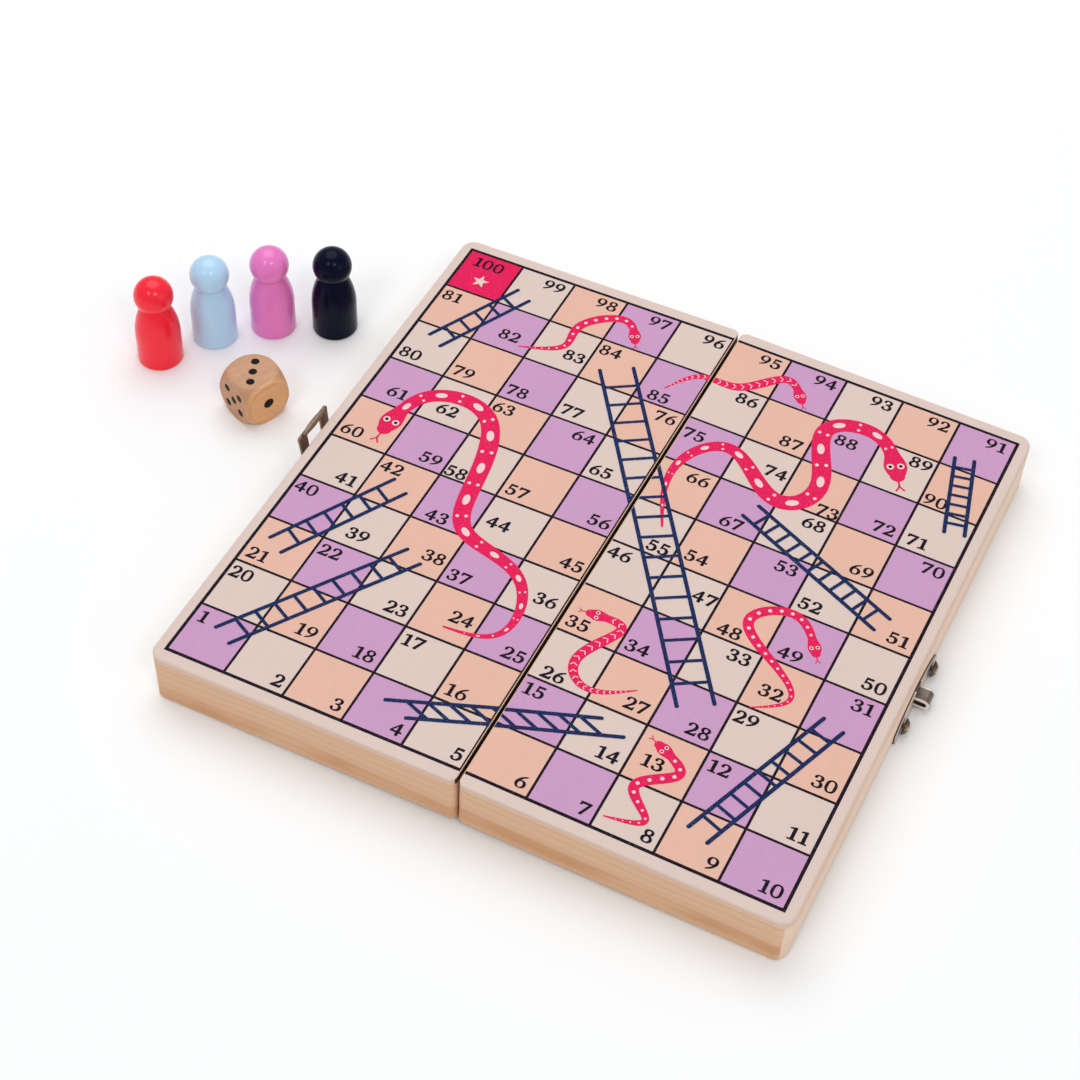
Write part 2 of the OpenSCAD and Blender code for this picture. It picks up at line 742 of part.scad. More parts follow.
// Turns that bring each face of the die to the top, and the pips on it, counted in offsets
die_faces = [
    [[0, 0, 0], [[-1, -1], [0, 0], [1, 1]]],
    [[180, 0, 0], [[-1, -1], [-1, 1], [1, -1], [1, 1]]],
    [[0, -90, 0], [[-1, -1], [-1, 1], [0, 0], [1, -1], [1, 1]]],
    [[0, 90, 0], [[-1, 1], [1, -1]]],
    [[90, 0, 0], [[0, 0]]],
    [[-90, 0, 0], [[-1, -1], [-1, 0], [-1, 1], [1, -1], [1, 0], [1, 1]]],
];

module on_die() {
    translate([-die_left, die_back, die_side / 2]) rotate(die_turn) children();
}

// Cylinders that stand in the pips' places, narrower than the pips by the play all round
module on_pips(play, h) {
    for (face = die_faces) rotate(face[0]) for (p = face[1])
        translate([p[0] * pip_offset, p[1] * pip_offset, die_side / 2 - pip_depth])
            cylinder(d = (len(face[1]) > 1 ? pip_d : lone_pip_d) - play * 2, h = h);
}

module die() {
    color("#d29b69") on_die() difference() {
        intersection() {
            cube(die_side, center = true);
            sphere(r = die_side / 2 * die_ball_share);
        }
        on_pips(0, pip_depth + overrun);
    }
}

module die_pips() {
    color("#14100e") on_die() on_pips(screw_play, pip_depth * (1 - pip_open_share));
}

panel(LEFT);  // left_panel
end_rail(LEFT, -1);  // left_front_rail
end_rail(LEFT, 1);  // left_back_rail
outer_rail(LEFT);  // left_outer_rail
inner_rail(LEFT);  // left_inner_rail
lilac_squares(LEFT);  // left_lilac_squares
peach_squares(LEFT);  // left_peach_squares
finish_square();
grid_lines(LEFT);  // left_grid_lines
ladders(LEFT);  // left_ladders
snakes(LEFT);  // left_snakes
hinge_leaves(LEFT);  // left_hinge_leaves
hinge_screws(LEFT);  // left_hinge_screws
hinge_pins();
hasp_plate();
latch_screws(LEFT);  // hasp_plate_screws
hasp_pin();
hasp();
panel(RIGHT);  // right_panel
end_rail(RIGHT, -1);  // right_front_rail
end_rail(RIGHT, 1);  // right_back_rail
outer_rail(RIGHT);  // right_outer_rail
inner_rail(RIGHT);  // right_inner_rail
lilac_squares(RIGHT);  // right_lilac_squares
peach_squares(RIGHT);  // right_peach_squares
grid_lines(RIGHT);  // right_grid_lines
ladders(RIGHT);  // right_ladders
snakes(RIGHT);  // right_snakes
hinge_leaves(RIGHT);  // right_hinge_leaves
hinge_screws(RIGHT);  // right_hinge_screws
keeper();
latch_screws(RIGHT);  // keeper_screws
pawn_red();
pawn_blue();
pawn_pink();
pawn_navy();
die();
die_pips();
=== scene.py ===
"""Folding snakes and ladders board: the dressed model, its finishes and a plain studio stage.

Lengths are in metres. The fold runs along Y through x = 0, and z = 0 is the table.
"""

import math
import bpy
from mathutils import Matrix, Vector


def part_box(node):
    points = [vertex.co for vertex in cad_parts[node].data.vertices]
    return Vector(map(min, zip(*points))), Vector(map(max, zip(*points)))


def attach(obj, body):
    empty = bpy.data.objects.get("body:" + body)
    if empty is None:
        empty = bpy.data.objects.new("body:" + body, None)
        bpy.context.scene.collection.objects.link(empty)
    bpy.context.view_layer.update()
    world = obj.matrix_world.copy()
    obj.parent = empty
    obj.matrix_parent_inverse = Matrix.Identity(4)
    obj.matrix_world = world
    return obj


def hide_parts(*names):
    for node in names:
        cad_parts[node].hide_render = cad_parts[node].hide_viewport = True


bl_info = {
    "name": "Folding Snakes and Ladders Board",
    "version": (1, 0, 0),
    "blender": (4, 5, 0),
    "location": "View3D > Sidebar > Game Board",
    "description": "Dresses the folding board, its latch, pawns and die, and sets a plain stage",
    "category": "Object",
}

from functools import partialmethod

import bmesh
import bpy
from bpy.props import FloatProperty, FloatVectorProperty, IntProperty, PointerProperty
from mathutils import Matrix, Vector

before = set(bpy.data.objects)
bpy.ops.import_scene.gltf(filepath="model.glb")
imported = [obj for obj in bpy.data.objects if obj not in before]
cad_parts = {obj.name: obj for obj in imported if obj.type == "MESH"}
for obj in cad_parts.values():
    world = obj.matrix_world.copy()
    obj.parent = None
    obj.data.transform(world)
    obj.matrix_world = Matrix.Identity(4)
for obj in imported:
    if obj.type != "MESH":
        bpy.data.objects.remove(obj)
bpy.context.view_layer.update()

MM = 0.001
LEFT, RIGHT = -1, 1
SIDE_NAMES = {LEFT: "left", RIGHT: "right"}

# The halves, as the part's source has them: x outwards from the fold, z upwards from the rim
HALF_REACH = 104 * MM
HALF_START = 0.2 * MM
BOARD_DEPTH = 209.2 * MM
RAIL_H = 17 * MM
PANEL_T = 2.5 * MM
PLAY_H = RAIL_H + PANEL_T
FOLD_H = 1.55 * MM
AXIS_DROP = 0.1 * MM
LEAN = math.asin((FOLD_H + AXIS_DROP) / (HALF_REACH - 1 * MM))
SQUARE = 20 * MM

# The camera, as solved from the printed grid
EYE = Vector((0.18524, -0.45881, 0.58969))
VIEW = Vector((-0.271918, 0.595686, -0.755790)).normalized()
VIEW_UP = Vector((-0.350074, 0.670340, 0.654287)).normalized()
FOCAL_LENGTH, SENSOR_WIDTH = 80.248, 36

# Edges flatter than this are shaded smooth
SMOOTH = math.radians(35)

# How high the snakes' marks lie over the panel's face
TONGUE_H, MARK_H, PUPIL_H = 0.09 * MM, 0.105 * MM, 0.112 * MM

# Snakes, from nose to tail in squares from the front left corner of the track
LARGE_SNAKES = [
    [(0.72, 5.5), (0.8, 6.65), (2.3, 6.8), (2.6, 5.0), (2.7, 3.9), (4.3, 3.9), (4.6, 2.3), (3.5, 2.25)],
    [(8.5, 8.4), (8, 9.3), (6.7, 8.9), (7.8, 7.5), (6.9, 6.6), (5.9, 8.1), (5, 6.9), (5.6, 5.6)],
]
SMALL_SNAKES = [
    [(3.5, 9.2), (3.2, 9.8), (2.3, 9.1), (2.7, 8.5), (1.8, 8.2)],
    [(6.5, 9.2), (6.1, 9.8), (5.5, 8.8), (4.8, 9.1), (4.4, 8.4)],
    [(8.7, 4.4), (8.2, 5.2), (7.2, 4.5), (8.3, 3.9), (8.9, 3.4), (8.2, 3)],
    [(5.35, 3.5), (6.2, 3.6), (5.3, 2.6), (5.9, 2), (6.6, 2.5)],
    [(7.3, 1.75), (8.1, 1.4), (6.9, 0.95), (8, 0.4), (7.1, 0.25)],
]
LARGE_WIDTH, SMALL_WIDTH = 6.4 * MM, 3.6 * MM
# Half widths in widths of the snake: over the head, in widths from the nose, and along the whole length
HEAD_WIDTHS = [(0, 0.4), (0.25, 0.52), (0.5, 0.6), (0.75, 0.6), (1.05, 0.52), (1.4, 0.41), (1.8, 0.36)]
BODY_WIDTHS = [(0, 0.33), (0.15, 0.42), (0.35, 0.5), (0.55, 0.45), (0.8, 0.26), (1, 0.05)]

# Where a number's middle lies in its square: in the usual corners, or clear of the pictures
CORNERS = {
    (0.7, 0.79): (99, 98, 97, 96, 95, 94, 93, 92, 91, 86, 76, 64, 66, 68, 70, 33, 31),
    (0.25, 0.78): (81, 84, 63, 42, 46, 40, 22, 29, 20, 17, 15, 12),
    (0.27, 0.23): (80, 79, 78, 77, 71, 65, 60, 57, 52, 37, 35, 34, 21, 16),
}
OWN_PLACES = {
    1: (0.18, 0.78), 13: (0.35, 0.42), 24: (0.7, 0.5), 26: (0.37, 0.18), 32: (0.38, 0.4), 36: (0.67, 0.41),
    38: (0.74, 0.41), 39: (0.46, 0.28), 43: (0.38, 0.18), 44: (0.32, 0.48), 47: (0.78, 0.59),
    48: (0.37, 0.18), 49: (0.36, 0.2), 53: (0.66, 0.75), 54: (0.34, 0.28), 55: (0.72, 0.19),
    58: (0.21, 0.16), 61: (0.52, 0.31), 62: (0.44, 0.33), 67: (0.53, 0.2), 69: (0.72, 0.25),
    73: (0.79, 0.135), 74: (0.74, 0.52), 75: (0.24, 0.66), 82: (0.56, 0.36), 83: (0.75, 0.4),
    85: (0.4, 0.18), 88: (0.5, 0.69), 89: (0.75, 0.82), 90: (0.24, 0.17), 100: (0.45, 0.76),
}
PLACES = {number: corner for corner, numbers in CORNERS.items() for number in numbers} | OWN_PLACES
FIRST_ROW, OTHER_ROWS = (0.81, 0.23), (0.71, 0.24)


def srgb(r, g, b):
    """A colour written in the usual 0 to 255 steps, as the linear colour that shaders take."""
    steps = [c / 255 for c in (r, g, b)]
    return tuple(c / 12.92 if c <= 0.04045 else ((c + 0.055) / 1.055) ** 2.4 for c in steps)


def colour_prop(name, description, shade):
    return FloatVectorProperty(
        name=name, description=description, default=srgb(*shade), subtype="COLOR", size=3, min=0, max=1
    )


def length_prop(name, description, length):
    return FloatProperty(name=name, description=description, default=length, unit="LENGTH")


def power_prop(name, description, power):
    return FloatProperty(name=name, description=description, default=power, min=0, unit="POWER")


class BoardSizes(bpy.types.PropertyGroup):
    """Sizes of what the dressed model adds to the part."""

    number_height: length_prop("Number Height", "Height of the printed numbers", 4.5 * MM)
    number_bold: length_prop("Number Boldness", "How much the figures' strokes spread", 0.085 * MM)
    print_height: length_prop("Print Height", "How far the numbers stand off the panel", 0.07 * MM)
    wood_edge: length_prop("Wood Edge", "Softening of the rails' sawn edges", 0.25 * MM)
    metal_edge: length_prop("Metal Edge", "Softening of the fittings' stamped edges", 0.12 * MM)
    pawn_steps: IntProperty(
        name="Pawn Steps", description="Steps round a turned pawn", default=72, min=24, max=128
    )


class BoardColours(bpy.types.PropertyGroup):
    """Colours of the woods, inks, paints and metals."""

    veneer: colour_prop("Veneer", "Bare plywood of the play panels", (221, 201, 192))
    pine: colour_prop("Pine", "Light wood of the front and back rails", (226, 186, 154))
    pine_dark: colour_prop("Pine Rings", "Dark growth rings of the front and back rails", (208, 156, 114))
    # The side rails' pine and rings are the rails' own pine painted lighter: painted light on the side faces
    pale_pine: colour_prop("Pale Pine", "Light wood of the side rails", (238, 213, 195))
    pale_rings: colour_prop("Pale Pine Rings", "Dark growth rings of the side rails", (228, 188, 154))
    lilac: colour_prop("Lilac Ink", "Lilac squares", (201, 154, 194))
    peach: colour_prop("Peach Ink", "Peach squares", (227, 183, 164))
    pink: colour_prop("Pink Ink", "Snakes and the last square", (226, 26, 88))
    black: colour_prop("Black Ink", "Lines and numbers", (22, 9, 26))
    navy: colour_prop("Navy Ink", "Ladders", (14, 38, 86))
    red_paint: colour_prop("Red Paint", "Red pawn", (254, 28, 52))
    blue_paint: colour_prop("Light Blue Paint", "Light blue pawn", (184, 222, 250))
    mauve_paint: colour_prop("Pink Paint", "Pink pawn", (238, 124, 200))
    navy_paint: colour_prop("Navy Paint", "Navy pawn", (1, 6, 34))
    die_wood: colour_prop("Die Wood", "Wood of the die", (206, 154, 110))
    bronze: colour_prop("Bronze", "Hasp and its plate", (144, 124, 106))
    nickel: colour_prop("Nickel", "Keeper", (124, 115, 108))
    screw: colour_prop("Latch Screws", "Screws of the hasp and the keeper", (150, 130, 106))
    brass: colour_prop("Brass", "Hinges", (176, 148, 96))


class BoardStage(bpy.types.PropertyGroup):
    """Stage that the board stands on."""

    key_power: power_prop("Key Power", "Power of the large soft lamp overhead", 9.6)
    glint_power: power_prop("Glint Power", "Power of each of the two small lamps beside the camera", 9.5)
    sky: FloatProperty(name="Sky", description="Strength of the white surroundings", default=0.55, min=0)
    shadow: FloatProperty(
        name="Shadow", description="How much of the shadow the white floor keeps", default=1.0, min=0, max=1
    )


class Socket:
    """Output of a shader node. Sums and products of these add the Math nodes that work them out."""

    def __init__(self, tree, out):
        self.tree, self.out = tree, out

    def math(self, operation, *others):
        """Adds a Math node that takes this value first, and then the others."""
        made = self.tree.nodes.new("ShaderNodeMath")
        made.operation = operation
        for plug, term in zip(made.inputs, (self, *others)):
            if isinstance(term, Socket):
                self.tree.links.new(term.out, plug)
            else:
                plug.default_value = term
        return Socket(self.tree, made.outputs[0])

    __add__ = partialmethod(math, "ADD")
    __sub__ = partialmethod(math, "SUBTRACT")
    __mul__ = partialmethod(math, "MULTIPLY")
    __pow__ = partialmethod(math, "POWER")
    __abs__ = partialmethod(math, "ABSOLUTE")
    largest = partialmethod(math, "MAXIMUM")
    __radd__, __rmul__ = __add__, __mul__

    def __rsub__(self, other):
        return self * -1 + other

    def wave(self):
        """Sine of the value, brought into 0 to 1."""
        return self.math("SINE") * 0.5 + 0.5

    def step(self, low, high):
        """0 below low and 1 above high, with a smooth rise between them; high may be the lower one."""
        made = self.tree.nodes.new("ShaderNodeMapRange")
        made.interpolation_type = "SMOOTHSTEP"
        self.tree.links.new(self.out, made.inputs["Value"])
        ends = sorted(((low, 0.0), (high, 1.0)))
        for end, (value, share) in zip(("Min", "Max"), ends):
            made.inputs["From " + end].default_value = value
            made.inputs["To " + end].default_value = share
        return Socket(self.tree, made.outputs[0])


class Finish:
    """A material in the making, with its colour as far as its layers go."""

    def __init__(self, name, colour):
        self.colour = colour
        self.material = bpy.data.materials.new(name)
        self.material.use_nodes = True
        self.tree = self.material.node_tree
        self.tree.nodes.clear()
        self.shader = self.tree.nodes.new("ShaderNodeBsdfPrincipled")
        self.end = self.tree.nodes.new("ShaderNodeOutputMaterial")
        self.tree.links.new(self.shader.outputs[0], self.end.inputs["Surface"])

    def node(self, kind, inputs=None, output=0, **settings):
        """Adds a node with its settings and its sockets' values or links; None gives all its outputs."""
        made = self.tree.nodes.new(kind)
        for name, value in settings.items():
            setattr(made, name, value)
        for key, value in (inputs or {}).items():
            self.plug(made.inputs[key], value)
        if output is None:
            return [Socket(self.tree, out) for out in made.outputs]
        return Socket(self.tree, made.outputs[output])

    def plug(self, socket, value):
        if isinstance(value, Socket):
            self.tree.links.new(value.out, socket)
        else:
            socket.default_value = (*value, 1) if socket.type == "RGBA" else value

    def place(self, side=0, scale=(1, 1, 1)):
        """Object coordinates in millimetres, laid level with a half of the board and scaled for a grain."""
        raw = self.node("ShaderNodeTexCoord", output="Object")
        if side:
            drop = (0, 0, -FOLD_H - AXIS_DROP)
            level = {"Vector": raw, "Rotation": (0, -side * LEAN, 0), "Location": drop}
            raw = self.node("ShaderNodeMapping", level)
        return self.node("ShaderNodeMapping", {"Vector": raw, "Scale": tuple(1000 * s for s in scale)})

    def split(self, vector):
        return self.node("ShaderNodeSeparateXYZ", {0: vector}, None)

    def join(self, x, y, z):
        return self.node("ShaderNodeCombineXYZ", {"X": x, "Y": y, "Z": z})

    def noise(self, vector, scale, detail=3.0, rough=0.55):
        sockets = {"Vector": vector, "Scale": scale, "Detail": detail, "Roughness": rough}
        return self.node("ShaderNodeTexNoise", sockets)

    def over(self, share, shade, factor=1.0):
        """Lays a layer over the colour: its share, and its shade made so many times lighter."""
        layer = {0: share, 6: self.colour, 7: lighter(shade, factor)}
        self.colour = self.node("ShaderNodeMix", layer, 2, data_type="RGBA")

    def bump(self, height, depth, strength=1.0):
        return self.node("ShaderNodeBump", {"Height": height, "Distance": depth, "Strength": strength})

    def done(self, **sockets):
        """Sets the shader up with the colour and the other sockets, and gives the material."""
        names = {"rough": "Roughness", "metal": "Metallic", "normal": "Normal", "gloss": "Specular IOR Level"}
        self.plug(self.shader.inputs["Base Color"], self.colour)
        for key, value in sockets.items():
            self.plug(self.shader.inputs[names[key]], value)
        return self.material


def lighter(colour, factor):
    return tuple(min(1.0, c * factor) for c in colour)


def pine_finish(name, side, along, colours, seed):
    """Planed pine: growth rings that wander along the rail, fine fibres, a little darker at the bottom, with
    painted light on the side faces and painted shade in the seam.
    """
    pale, dark = colours.pale_pine, colours.pale_rings
    if along == "x":
        pale, dark = colours.pine, colours.pine_dark
    f = Finish(name, pale)
    x, y, z = f.split(f.place(side))
    run, across = (x, y) if along == "x" else (y, x)
    grain = f.join(run * 0.02 + seed, across, z)
    drift = f.noise(grain, 0.16, 2.0)
    slow = f.join(run * 0.011 + seed * 3, across * 0.02, z * 0.03)
    sway = f.noise(slow, 1.0, 1.0) * 9
    # Rings are arcs about a heart that lies below the rail and to one side
    heart_y = across * 0.55 + seed * 4
    heart_z = z + 14 + sway
    radius = (heart_y * heart_y * 0.05 + heart_z * heart_z) ** 0.5 + drift * 2.2
    phase = radius * 0.42 - 3.3
    ring = phase.wave().step(0.4, 1.0)
    fine_ring = (phase * 5.3).wave().step(0.55, 1.0)
    broad = f.noise(slow, 1.9, 2.0).step(0.38, 0.62)
    fibre = f.noise(f.join(run * 0.05 + seed, across * 2.6, z * 2.6), 1.6, 4.0, 0.7)
    fleck = f.noise(f.join(run * 0.22 + seed, across * 3.2, z * 3.2), 1.0, 2.0).step(0.64, 0.8)
    f.over(ring * (broad * 0.75 + 0.2), dark)
    f.over(fine_ring * (fibre * 0.35 + 0.05), dark, 0.92)
    f.over(fibre.step(0.35, 0.75) * 0.2, dark, 0.92)
    f.over(fleck * 0.14, dark, 0.7)
    # The bottom 1.2 mm of each rail is a little darker, and a thin joint shows under the panel
    f.over(z.step(1.2, 0.0) * 0.16, dark, 0.75)
    f.over(z.step(16.85, 16.97) * 0.22, dark, 0.5)
    # Inner rails' faces in the seam are painted near black: painted shade deep in the gap
    if along == "y":
        f.over(abs(x).step(0.62, 0.36) * 0.95, dark, 0.05)
    else:
        # The front and back rails' ends take the side rails' lighter pine: painted light toward the side
        # faces
        f.over(abs(x).step(101.9, 102.5) * (fibre * 0.4 + 0.6), colours.pale_pine)
    height = fibre * 0.6 + ring * 0.3
    return f.done(rough=fibre * 0.16 + 0.55, gloss=0.15, normal=f.bump(height, 0.06 * MM, 0.5))


def veneer_finish(side, colours):
    """Three-ply panel: pale veneer on both faces, and the plies' edges with a darker core."""
    bare, pine, dark = colours.veneer, colours.pine, colours.pine_dark
    seed = 3.0 + side
    f = Finish(f"{SIDE_NAMES[side]} plywood", bare)
    x, y, z = f.split(f.place(side))
    grain = f.join(x + seed, y * 0.03, z * 0.2)
    fibre = f.noise(grain, 1.7, 4.0, 0.65)
    cloud = f.noise(f.join(x * 0.05, y * 0.012 + seed, z * 0.01), 1.0, 2.0)
    pores = f.noise(f.join(x * 3.4, y * 0.35, z * 0.1), 1.0, 2.0)
    f.over(fibre.step(0.3, 0.8) * 0.14, bare, 0.86)
    f.over(cloud.step(0.35, 0.7) * 0.2, bare, 1.06)
    f.over(pores.step(0.62, 0.78) * 0.1, dark, 0.9)
    # Plies are seen from the edge by height alone: about 0.7 mm of veneer above and below the core
    core = z.step(17.72, 17.8) * z.step(18.86, 18.78)
    end_grain = f.noise(f.join(x * 2.2, y * 2.2, z * 4.5), 1.0, 3.0)
    edge_grain = f.noise(f.join(x * 0.12, y * 0.12, z * 4.0), 1.0, 3.0)
    f.over(z.step(19.1, 18.7) * 0.55, pine)
    f.over(core * (end_grain * 0.3 + 0.1), pine)
    f.over(z.step(19.0, 18.6) * edge_grain.step(0.4, 0.72) * 0.25, pine)
    seams = (abs(z - 17.76).step(0.09, 0.02) + abs(z - 18.82).step(0.09, 0.02)) * 0.12
    f.over(seams, dark, 0.7)
    f.over(z.step(17.12, 17.0) * 0.25, dark, 0.6)
    # Cut faces in the seam take the pine's tone; below their brown top edges they are painted near black,
    # painted shade deep in the gap
    f.over(abs(x).step(0.6, 0.5) * 0.9, pine, 0.95)
    f.over(abs(x).step(0.6, 0.4) * z.step(19.4, 19.25) * 0.95, dark, 0.05)
    height = fibre * 0.7 + core * end_grain * 0.6
    return f.done(rough=fibre * 0.14 + 0.55, gloss=0.12, normal=f.bump(height, 0.04 * MM, 0.35))


def ink_finish(name, shade, depth, speck=0.0):
    """Ink printed on veneer: depth is how much its tone wanders with the grain, and speck adds pinholes."""
    f = Finish(name, shade)
    x, y, z = f.split(f.place())
    grain = f.join(x, y * 0.03, z * 0.2)
    fibre = f.noise(grain, 1.7, 4.0, 0.65)
    cloud = f.noise(f.join(x * 0.06, y * 0.02, z * 0.01), 1.0, 2.0)
    wash = f.join(x, y, z * 0.5)
    dots = f.noise(wash, 2.8, 3.0, 0.7)
    weak = f.noise(wash, 0.55, 3.0, 0.7)
    f.over(fibre.step(0.35, 0.8) * (0.22 * depth), shade, 0.9)
    f.over(cloud.step(0.35, 0.7) * (0.25 * depth), shade, 1.06)
    holes = dots.step(0.585, 0.69) * (weak * 0.8 + 0.2)
    f.over(dots.step(0.47, 0.6) * (0.2 * depth), shade, 1.3)
    f.over(holes * speck, bpy.context.scene.board_colours.veneer)
    f.over(dots.step(0.42, 0.3) * (0.1 * depth), shade, 0.8)
    height = fibre * 0.7 + dots * 0.25
    return f.done(rough=fibre * 0.1 + dots * 0.08 + 0.5, gloss=0.08, normal=f.bump(height, 0.03 * MM, 0.5))


def metal_finish(name, metal, dull, tarnish, tone=1.0, grain=(1, 1, 1), rough=0.3, dark=0.45, painted_light_bands=()):
    """Thin plated sheet: fine draw marks, cloudy plating and tarnish in patches.

    Dull, tarnish and tone say how light the pits, the patches and the sheet are beside the plain metal.
    The last argument lists bands of painted highlight and painted shade: an axis, the distances from the
    middle between which that begins, and how many times lighter it is beyond them.
    """
    base = lighter(metal, tone)
    f = Finish(name, base)
    spot = f.place()
    marks = f.noise(f.place(scale=grain), 2.4, 4.0, 0.7)
    cloud = f.noise(spot, 0.28, 3.0, 0.6)
    pits = f.noise(spot, 3.0, 3.0, 0.65)
    patch = cloud.step(0.42, 0.66)
    f.over(patch * dark, metal, tarnish)
    f.over(pits.step(0.6, 0.78) * 0.4, metal, dull)
    f.over(marks.step(0.35, 0.7) * 0.25, base, 1.15)
    # Bands of painted highlight and painted shade along an axis
    for axis, low, high, gain in painted_light_bands:
        f.over(abs(f.split(spot)[axis]).step(low, high) * 0.9, base, gain)
    height = marks * 0.5 + pits * 0.5
    rough = marks * 0.14 + patch * 0.12 + rough
    return f.done(metal=0.92, rough=rough, normal=f.bump(height, 0.04 * MM, 0.5))


def paint_finish(name, shade, gloss):
    """Satin paint sprayed on turned wood: faint orange peel, turning marks and rubbed patches."""
    f = Finish(name, shade)
    spot = f.place()
    peel = f.noise(spot, 0.9, 3.0, 0.6)
    fine = f.noise(spot, 3.4, 2.0)
    turned = f.noise(f.place(scale=(0.05, 0.05, 1.0)), 1.6, 3.0)
    cloud = f.noise(spot, 0.12, 2.0)
    f.over(cloud.step(0.3, 0.7) * 0.3, shade, 0.9)
    f.over(peel.step(0.45, 0.75) * 0.16, shade, 1.12)
    height = peel * 0.4 + fine * 0.12 + turned * 0.35
    return f.done(rough=peel * 0.05 + cloud * 0.03 + 0.15, gloss=gloss, normal=f.bump(height, 0.04 * MM, 0.3))


def die_finish(centre, turn, wood):
    """Die of close-grained hardwood: streaks run along one of its axes, and its top and two sides carry
    painted light and shade.
    """
    f = Finish("die wood", lighter(wood, 1.12))
    raw = f.node("ShaderNodeTexCoord", output="Object")
    placed = {"Vector": raw, "Location": tuple(centre), "Rotation": (0, 0, turn)}
    local = f.node("ShaderNodeMapping", placed, vector_type="TEXTURE")
    spot = f.node("ShaderNodeMapping", {"Vector": local, "Scale": (1000, 1000, 1000)})
    x, y, z = f.split(spot)
    grain = f.join(x * 0.1, y, z)
    streak = f.noise(grain, 0.9, 4.0, 0.65)
    fine = f.noise(grain, 3.4, 3.0, 0.7)
    cloud = f.noise(spot, 0.22, 2.0)
    pores = f.noise(f.join(x * 0.5, y * 3.0, z * 3.0), 1.3, 2.0)
    f.over(streak.step(0.35, 0.7) * 0.55, wood, 0.68)
    f.over(fine.step(0.45, 0.75) * 0.4, wood, 0.55)
    f.over(cloud.step(0.4, 0.65) * 0.35, wood, 0.8)
    # The top and two of the sides are painted in their own tones, as painted light and shade
    f.over(z.step(6.4, 8.3) * 0.5, srgb(202, 160, 138))
    f.over(y.step(-6.4, -8.3) * 0.6, srgb(255, 194, 136))
    f.over(x.step(-6.4, -8.3) * 0.4, srgb(196, 148, 124))
    f.over(pores.step(0.58, 0.72) * 0.45, wood, 0.4)
    f.over(fine.step(0.52, 0.75) * 0.2, wood, 0.5)
    rim = (x * x + y * y + z * z) ** 0.5
    f.over(rim.step(10.7, 11.65) * 0.2, wood, 0.75)
    height = streak * 0.4 + fine * 0.4 + pores * 0.3
    return f.done(rough=fine * 0.18 + 0.4, gloss=0.2, normal=f.bump(height, 0.07 * MM, 0.55))


def wear_finish(node_name, material):
    """Gives a carried-over piece its finish."""
    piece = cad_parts[node_name]
    piece.data.materials.clear()
    piece.data.materials.append(material)


def on_half(side):
    """Place of a half on the table: tipped about the fold and stood on the hinge barrels."""
    lift = Matrix.Translation((0, 0, FOLD_H))
    drop = Matrix.Translation((0, 0, AXIS_DROP))
    return lift @ Matrix.Rotation(side * LEAN, 4, "Y") @ drop


def board_place(u, v):
    """A point counted in squares from the front left corner of the track, on a level board."""
    return Vector(((u - 5) * SQUARE, (v - 5) * SQUARE, 0))


def left_of(way):
    return Vector((-way.y, way.x, 0))


def added(name, data):
    """A new object in the scene."""
    item = bpy.data.objects.new(name, data)
    bpy.context.collection.objects.link(item)
    return item


def as_mesh(name, bm):
    mesh = bpy.data.meshes.new(name)
    bm.to_mesh(mesh)
    bm.free()
    return mesh


def settled(name, bm, material, body, slot, place, soften=SMOOTH):
    """Ends a piece: closes its seams, turns its faces outwards, puts it in place and hands it over."""
    bmesh.ops.remove_doubles(bm, verts=bm.verts, dist=1e-6)
    bmesh.ops.recalc_face_normals(bm, faces=bm.faces)
    bmesh.ops.transform(bm, matrix=place, verts=bm.verts)
    if place.determinant() < 0:
        bmesh.ops.reverse_faces(bm, faces=bm.faces)
    return shown(name, as_mesh(name, bm), material, body, slot, soften)


def shown(name, mesh, material, body, slot, soften=SMOOTH):
    """Shades a finished mesh, and makes it a piece of its body."""
    for face in mesh.polygons:
        face.use_smooth = True
    mesh.set_sharp_from_angle(angle=soften)
    mesh.materials.clear()
    mesh.materials.append(material)
    piece = added(name, mesh)
    even = piece.modifiers.new("Even shading", "WEIGHTED_NORMAL")
    even.keep_sharp = True
    even.weight = 80
    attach(piece, body)
    return piece


def eased(node_name, width, material, body, slot, steps=2, chosen=None):
    """A copy of a sawn or stamped piece, with its sharp edges softened, that stands in for it."""
    bm = bmesh.new()
    bm.from_mesh(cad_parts[node_name].data)
    bmesh.ops.remove_doubles(bm, verts=bm.verts, dist=2e-6)
    bmesh.ops.dissolve_limit(
        bm, angle_limit=math.radians(0.6), verts=bm.verts, edges=bm.edges, delimit={"NORMAL"}
    )
    sharp = [
        e for e in bm.edges
        if e.is_manifold and e.calc_face_angle(0) > math.radians(28) and (not chosen or chosen(e))
    ]
    if sharp:
        bmesh.ops.bevel(
            bm, geom=sharp, offset=width, offset_type="OFFSET", segments=steps, profile=0.5,
            affect="EDGES", clamp_overlap=True, material=-1,
        )
    name = node_name + "_eased"
    piece = shown(name, as_mesh(name, bm), material, body, slot)
    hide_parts(node_name)
    return piece


